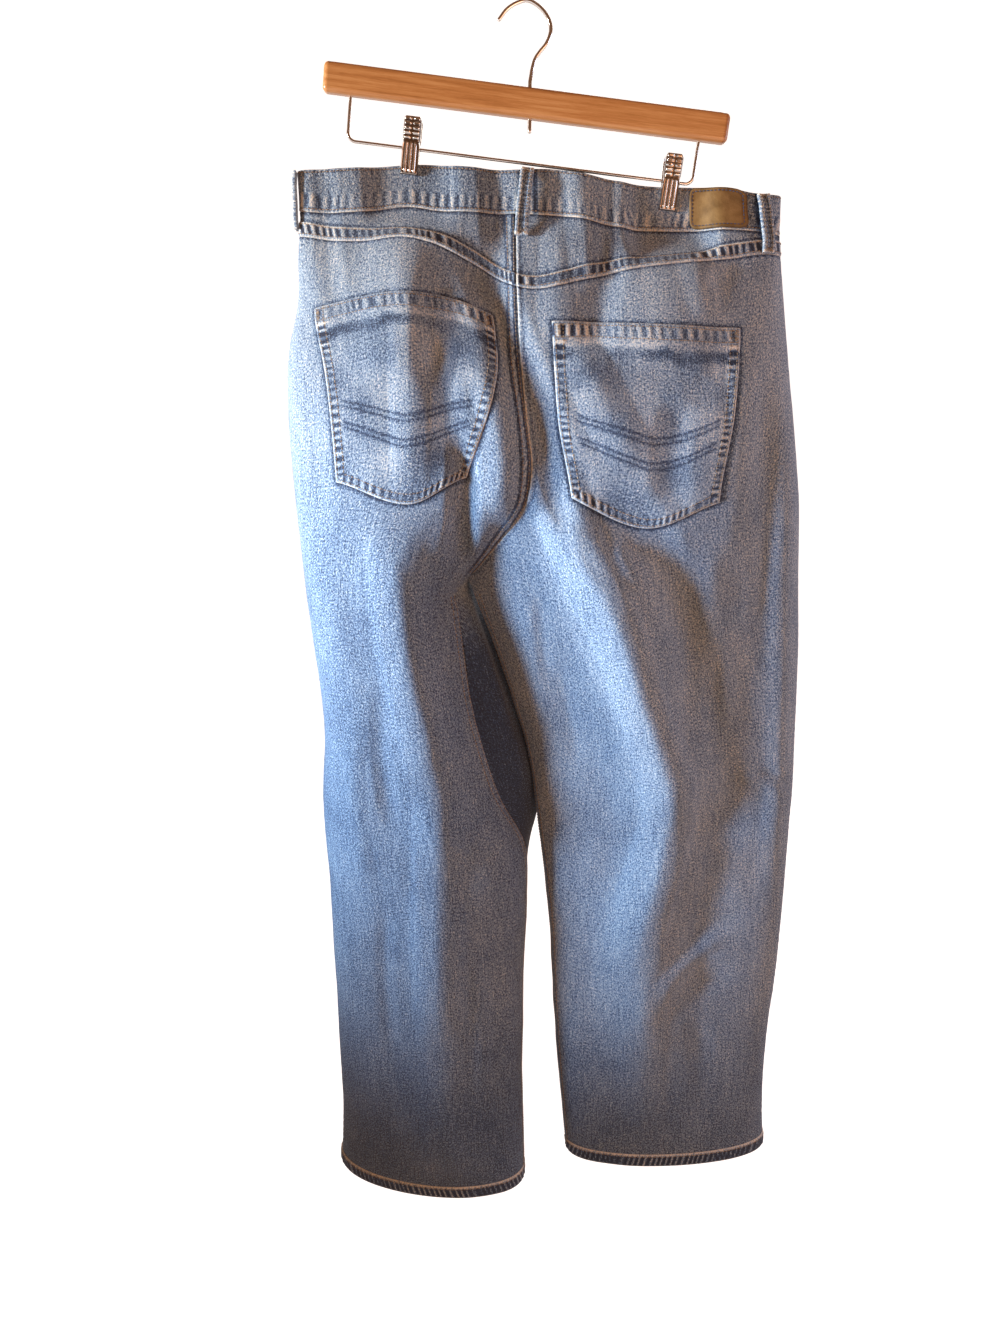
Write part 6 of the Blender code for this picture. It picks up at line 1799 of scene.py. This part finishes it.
def make_clips():
    """Two pressed clips: a ribbed plate on each side, folded at its edges, with a sprung wire between."""
    share, up = np.meshgrid(np.linspace(0, 1, 33), np.linspace(0, 1, 91))
    relief = jaw_relief(share, up)
    off = JAW_FOOT + (JAW_TOP - JAW_FOOT) * up**JAW_BOW
    drawn_in = 0.0024 * soft_step((np.abs(2 * share - 1) - 0.84) / 0.16)
    waist = 1 - 0.07 * np.exp(-(((up - 0.56) / 0.05) ** 2)) - 0.10 * soft_step((up - 0.93) / 0.07)
    ends = 0.0010 * (near(up, 0.02) + near(1 - up, 0.02))
    beside, above = (share - 0.5) * JAW_WIDTH * waist, up * JAW_HEIGHT
    for name, (x, foot) in CLIPS.items():
        for label, face in (("back", -1), ("front", 1)):
            inner = np.stack([x + beside, face * (off - drawn_in), foot + above], axis=-1)
            normals = np.broadcast_to(hung((0.0, float(face), 0.0)), inner.shape).copy()
            skin = Skin(hung(inner), normals=normals)
            skin.lift = JAW_WALL + 0.0010 * relief - ends
            # Painted shade: the grooves between the flutes and bars are darkened.
            skin.wear = 0.95 * relief - 0.95
            jaw = wall_piece("clip_jaw_" + label + "_" + name, skin, 0.0, [chrome()])
            stands_for("clip_" + label + "_jaw_" + name)
        turn = np.linspace(0, 2 * math.pi * SPRING_TURNS, 40 * SPRING_TURNS)
        along = np.linspace(-0.5, 0.5, len(turn)) * SPRING_LENGTH
        points = [x + along, SPRING_RADIUS * np.cos(turn), CLIP_WIRE_Z + SPRING_RADIUS * np.sin(turn)]
        coil = hung(np.stack(points, axis=-1))
        spring = tube("clip_spring_" + name, coil, SPRING_WIRE / 2, 8, chrome(), (0.3, 0.5, 0.8))


def add_sweep(floor):
    """A paper floor that bends up into a wall: a straight, a quarter of a circle and a straight."""
    turn = np.radians(np.linspace(0, 90, 24))
    start = SWEEP_BACK - SWEEP_BEND
    flat = np.stack([np.linspace(SWEEP_FRONT, start, 12), np.full(12, floor)], axis=-1)
    curve = np.stack([start + SWEEP_BEND * np.sin(turn), floor + SWEEP_BEND * (1 - np.cos(turn))], axis=-1)
    wall = np.stack([np.full(8, SWEEP_BACK), floor + np.linspace(SWEEP_BEND, SWEEP_HIGH, 8)], axis=-1)
    profile = np.concatenate([flat, curve[1:], wall[1:]])
    xs = np.linspace(-SWEEP_WIDE, SWEEP_WIDE, 21)
    points = np.empty((len(profile), len(xs), 3))
    points[..., 0] = xs
    points[..., 1:] = profile[:, None]
    number = np.arange(points[..., 0].size).reshape(points.shape[:2])
    corners = (number[:-1, :-1], number[:-1, 1:], number[1:, 1:], number[1:, :-1])
    faces = np.stack(corners, axis=-1).reshape(-1, 4)
    mesh = bpy.data.meshes.new("studio_sweep")
    mesh.from_pydata(points.reshape(-1, 3).tolist(), [], faces.tolist())
    mesh.shade_smooth()
    mesh.materials.append(studio_paper())
    sweep = bpy.data.objects.new("studio_sweep", mesh)
    sweep.visible_diffuse = False
    bpy.context.scene.collection.objects.link(sweep)


def add_light(row, power, tint):
    """A round soft light at its row's place, turned to its aim. A cone in degrees makes it a spotlight."""
    light = bpy.data.lights.new(row.name + "_light", "SPOT" if row.cone else "AREA")
    light.energy, light.color = power, tint
    if row.cone:
        light.spot_size, light.spot_blend = math.radians(row.cone), row.blend
        light.shadow_soft_size = row.size / 2
    else:
        light.shape, light.size = "DISK", row.size
    lamp = bpy.data.objects.new(row.name + "_light", light)
    lamp.location = row.place
    lamp.rotation_euler = (Vector(row.aim) - Vector(row.place)).to_track_quat("-Z", "Y").to_euler()
    bpy.context.scene.collection.objects.link(lamp)


def add_world(tint, strength):
    """Soft light of one colour from all round, behind a backdrop that the camera sees as white."""
    world = bpy.data.worlds.new("studio")
    world.use_nodes = True
    nodes, links = world.node_tree.nodes, world.node_tree.links
    soft, white = nodes["Background"], nodes.new("ShaderNodeBackground")
    soft.inputs["Color"].default_value = (*tint, 1.0)
    soft.inputs["Strength"].default_value = strength
    white.inputs["Color"].default_value = (1.0, 1.0, 1.0, 1.0)
    path, mix = nodes.new("ShaderNodeLightPath"), nodes.new("ShaderNodeMixShader")
    links.new(path.outputs["Is Camera Ray"], mix.inputs[0])
    links.new(soft.outputs[0], mix.inputs[1])
    links.new(white.outputs[0], mix.inputs[2])
    links.new(mix.outputs[0], nodes["World Output"].inputs["Surface"])
    bpy.context.scene.world = world
    bpy.context.scene.view_settings.view_transform = "Standard"


def add_camera(stage):
    """A camera that looks along +Y, down by its pitch and leaning by its roll."""
    camera = bpy.data.cameras.new("camera")
    camera.lens, camera.sensor_width = stage.lens, 36.0
    eye = bpy.data.objects.new("camera", camera)
    ahead = Vector((0, math.cos(stage.pitch), -math.sin(stage.pitch)))
    level_up = Vector((0, math.sin(stage.pitch), math.cos(stage.pitch)))
    right = math.cos(stage.roll) * Vector((1, 0, 0)) - math.sin(stage.roll) * level_up
    up = math.cos(stage.roll) * level_up + math.sin(stage.roll) * Vector((1, 0, 0))
    turned = Matrix((right, up, -ahead)).transposed().to_4x4()
    eye.matrix_world = Matrix.Translation(stage.eye) @ turned
    bpy.context.scene.collection.objects.link(eye)
    bpy.context.scene.camera = eye


def make_stage():
    """The paper, the lights (a cool key and a seat light from the left, warm fill) and the camera."""
    stage = bpy.context.scene.jeans_stage
    add_sweep(stage.floor)
    for row in LIGHTS:
        add_light(row, getattr(stage, row.name + "_power"), getattr(stage, row.name + "_colour"))
    add_world(stage.fill_colour, stage.fill_strength)
    add_camera(stage)


def colour_setting(name, text, about):
    """A colour property whose default is a hex colour."""
    default = colour(text)[:3]
    return FloatVectorProperty(name=name, description=about, subtype="COLOR", size=3, default=default)


def length_setting(name, about, metres):
    """A length property in metres."""
    return FloatProperty(name=name, description=about, unit="LENGTH", default=metres)


def angle_setting(name, about, degrees):
    """An angle property, given in degrees."""
    return FloatProperty(name=name, description=about, unit="ROTATION", default=math.radians(degrees))


def power_setting(name, watts):
    """The power of a light in watts."""
    return FloatProperty(name=name, description="Power of this light in watts", unit="POWER", default=watts)


class JeansCloth(bpy.types.PropertyGroup):
    """Colours of the denim, from the deepest indigo to the worn white."""

    deep: colour_setting("Deep", "#19233a", "Unwashed indigo in the grooves of seams")
    dark: colour_setting("Dark", "#3c5273", "Dark grain")
    middle: colour_setting("Middle", "#7a91ac", "The washed cloth")
    pale: colour_setting("Pale", "#aebbc8", "Pale grain")
    worn: colour_setting("Worn", "#e4dfd6", "Rubbed edges")


class JeansSewing(bpy.types.PropertyGroup):
    """Sizes of the sewing thread."""

    pitch: length_setting("Pitch", "From stitch to stitch", 0.0032)
    length: length_setting("Length", "Of one stitch", 0.0025)
    thickness: length_setting("Thickness", "Of the thread", 0.0008)


class JeansStage(bpy.types.PropertyGroup):
    """The camera, the paper and the lights."""

    eye: FloatVectorProperty(
        name="Camera", description="Place of the camera", subtype="XYZ", unit="LENGTH", size=3,
        default=(-0.0435, -0.926, -0.3557),
    )
    pitch: angle_setting("Pitch", "How far the camera looks down", 13.5)
    roll: angle_setting("Roll", "Lean of the camera", 2.0)
    lens: FloatProperty(name="Lens", description="Focal length in millimetres", default=26.004)
    floor: length_setting("Floor", "Height of the floor", -1.40)
    paper: colour_setting("Paper", "#f0f0ee", "Colour of the paper")
    paper_glow: FloatProperty(name="Paper glow", description="Light that the paper gives", default=0.95)
    key_power: power_setting("Key", 345.0)
    key_colour: colour_setting("Key colour", "#b9ddf9", "Colour of the key light")
    seat_power: power_setting("Seat", 350.0)
    seat_colour: colour_setting("Seat colour", "#f5f1ea", "Colour of the light on the seat")
    fill_power: power_setting("Fill", 9.0)
    fill_colour: colour_setting("Fill colour", "#ffbb8c", "Colour of the fill light and the room")
    fill_strength: FloatProperty(name="Room", description="Strength of the room's light", default=0.225)
    rim_power: power_setting("Rim", 7.0)
    rim_colour: colour_setting("Rim colour", "#d8e6ff", "Colour of the light on the right edge")
    back_power: power_setting("Back", 12.0)
    back_colour: colour_setting("Back colour", "#f5f1ea", "Colour of the light behind")


class JEANS_OT_stage(bpy.types.Operator):
    """Add the floor, the lights and the camera"""

    bl_idname = "jeans.stage"
    bl_label = "Stage"
    bl_options = {"REGISTER", "UNDO"}

    def execute(self, context):
        make_stage()
        return {"FINISHED"}


class JEANS_OT_waistband(bpy.types.Operator):
    """Add the waistband and its stitching"""

    bl_idname = "jeans.waistband"
    bl_label = "Waistband"
    bl_options = {"REGISTER", "UNDO"}

    def execute(self, context):
        make_waistband()
        return {"FINISHED"}


class JEANS_OT_yokes(bpy.types.Operator):
    """Add the back yokes with their felled seams"""

    bl_idname = "jeans.yokes"
    bl_label = "Back Yokes"
    bl_options = {"REGISTER", "UNDO"}

    def execute(self, context):
        make_yokes()
        return {"FINISHED"}


class JEANS_OT_back_panels(bpy.types.Operator):
    """Add the seat and the backs of the legs"""

    bl_idname = "jeans.back_panels"
    bl_label = "Back Panels"
    bl_options = {"REGISTER", "UNDO"}

    def execute(self, context):
        make_back_panels()
        return {"FINISHED"}


class JEANS_OT_back_pockets(bpy.types.Operator):
    """Add the back pockets"""

    bl_idname = "jeans.back_pockets"
    bl_label = "Back Pockets"
    bl_options = {"REGISTER", "UNDO"}

    def execute(self, context):
        make_back_pockets()
        return {"FINISHED"}


class JEANS_OT_fronts(bpy.types.Operator):
    """Add the front panels and the pocket facings"""

    bl_idname = "jeans.fronts"
    bl_label = "Fronts"
    bl_options = {"REGISTER", "UNDO"}

    def execute(self, context):
        make_fronts()
        return {"FINISHED"}


class JEANS_OT_hems(bpy.types.Operator):
    """Add the turned hems"""

    bl_idname = "jeans.hems"
    bl_label = "Leg Hems"
    bl_options = {"REGISTER", "UNDO"}

    def execute(self, context):
        make_hems()
        return {"FINISHED"}


class JEANS_OT_fly(bpy.types.Operator):
    """Add the placket, the zip and the button"""

    bl_idname = "jeans.fly"
    bl_label = "Fly"
    bl_options = {"REGISTER", "UNDO"}

    def execute(self, context):
        make_fly()
        return {"FINISHED"}


class JEANS_OT_belt_loops(bpy.types.Operator):
    """Add the belt loops"""

    bl_idname = "jeans.belt_loops"
    bl_label = "Belt Loops"
    bl_options = {"REGISTER", "UNDO"}

    def execute(self, context):
        make_belt_loops()
        return {"FINISHED"}


class JEANS_OT_patch(bpy.types.Operator):
    """Add the bare leather patch"""

    bl_idname = "jeans.patch"
    bl_label = "Leather Patch"
    bl_options = {"REGISTER", "UNDO"}

    def execute(self, context):
        make_patch()
        return {"FINISHED"}


class JEANS_OT_hanger(bpy.types.Operator):
    """Add the bar, the hook, the wire and the clips"""

    bl_idname = "jeans.hanger"
    bl_label = "Hanger"
    bl_options = {"REGISTER", "UNDO"}

    def execute(self, context):
        make_bar()
        make_wires()
        make_clips()
        return {"FINISHED"}


OPERATORS = (
    JEANS_OT_stage, JEANS_OT_waistband, JEANS_OT_yokes, JEANS_OT_back_panels, JEANS_OT_back_pockets,
    JEANS_OT_fronts, JEANS_OT_hems, JEANS_OT_fly, JEANS_OT_belt_loops, JEANS_OT_patch,
    JEANS_OT_hanger,
)


class JEANS_PT_pieces(bpy.types.Panel):
    """A button for each group of pieces and the settings' colours and sizes, in the sidebar."""

    bl_idname = "JEANS_PT_pieces"
    bl_label = "Jeans on a Clip Hanger"
    bl_space_type = "VIEW_3D"
    bl_region_type = "UI"
    bl_category = "Jeans"

    def draw(self, context):
        """A button for each operator and a box for each group of settings."""
        layout = self.layout
        for made in OPERATORS:
            layout.operator(made.bl_idname)
        for name in GROUPS:
            box = layout.box()
            settings = getattr(context.scene, name)
            for key in settings.__annotations__:
                box.prop(settings, key)


GROUPS = {"jeans_cloth": JeansCloth, "jeans_sewing": JeansSewing, "jeans_stage": JeansStage}


def register():
    """Registers the classes and gives the scene its settings."""
    for kind in (*GROUPS.values(), *OPERATORS, JEANS_PT_pieces):
        bpy.utils.register_class(kind)
    for name, group in GROUPS.items():
        setattr(bpy.types.Scene, name, PointerProperty(type=group))


def unregister():
    """Takes away what register added."""
    for name in GROUPS:
        delattr(bpy.types.Scene, name)
    for kind in (JEANS_PT_pieces, *reversed(OPERATORS), *GROUPS.values()):
        bpy.utils.unregister_class(kind)


def main():
    """Makes the stage and every piece."""
    register()
    bpy.ops.jeans.stage()
    bpy.ops.jeans.waistband()
    bpy.ops.jeans.yokes()
    bpy.ops.jeans.back_panels()
    bpy.ops.jeans.back_pockets()
    bpy.ops.jeans.fronts()
    bpy.ops.jeans.hems()
    bpy.ops.jeans.fly()
    bpy.ops.jeans.belt_loops()
    bpy.ops.jeans.patch()
    bpy.ops.jeans.hanger()


if __name__ == "__main__":
    main()
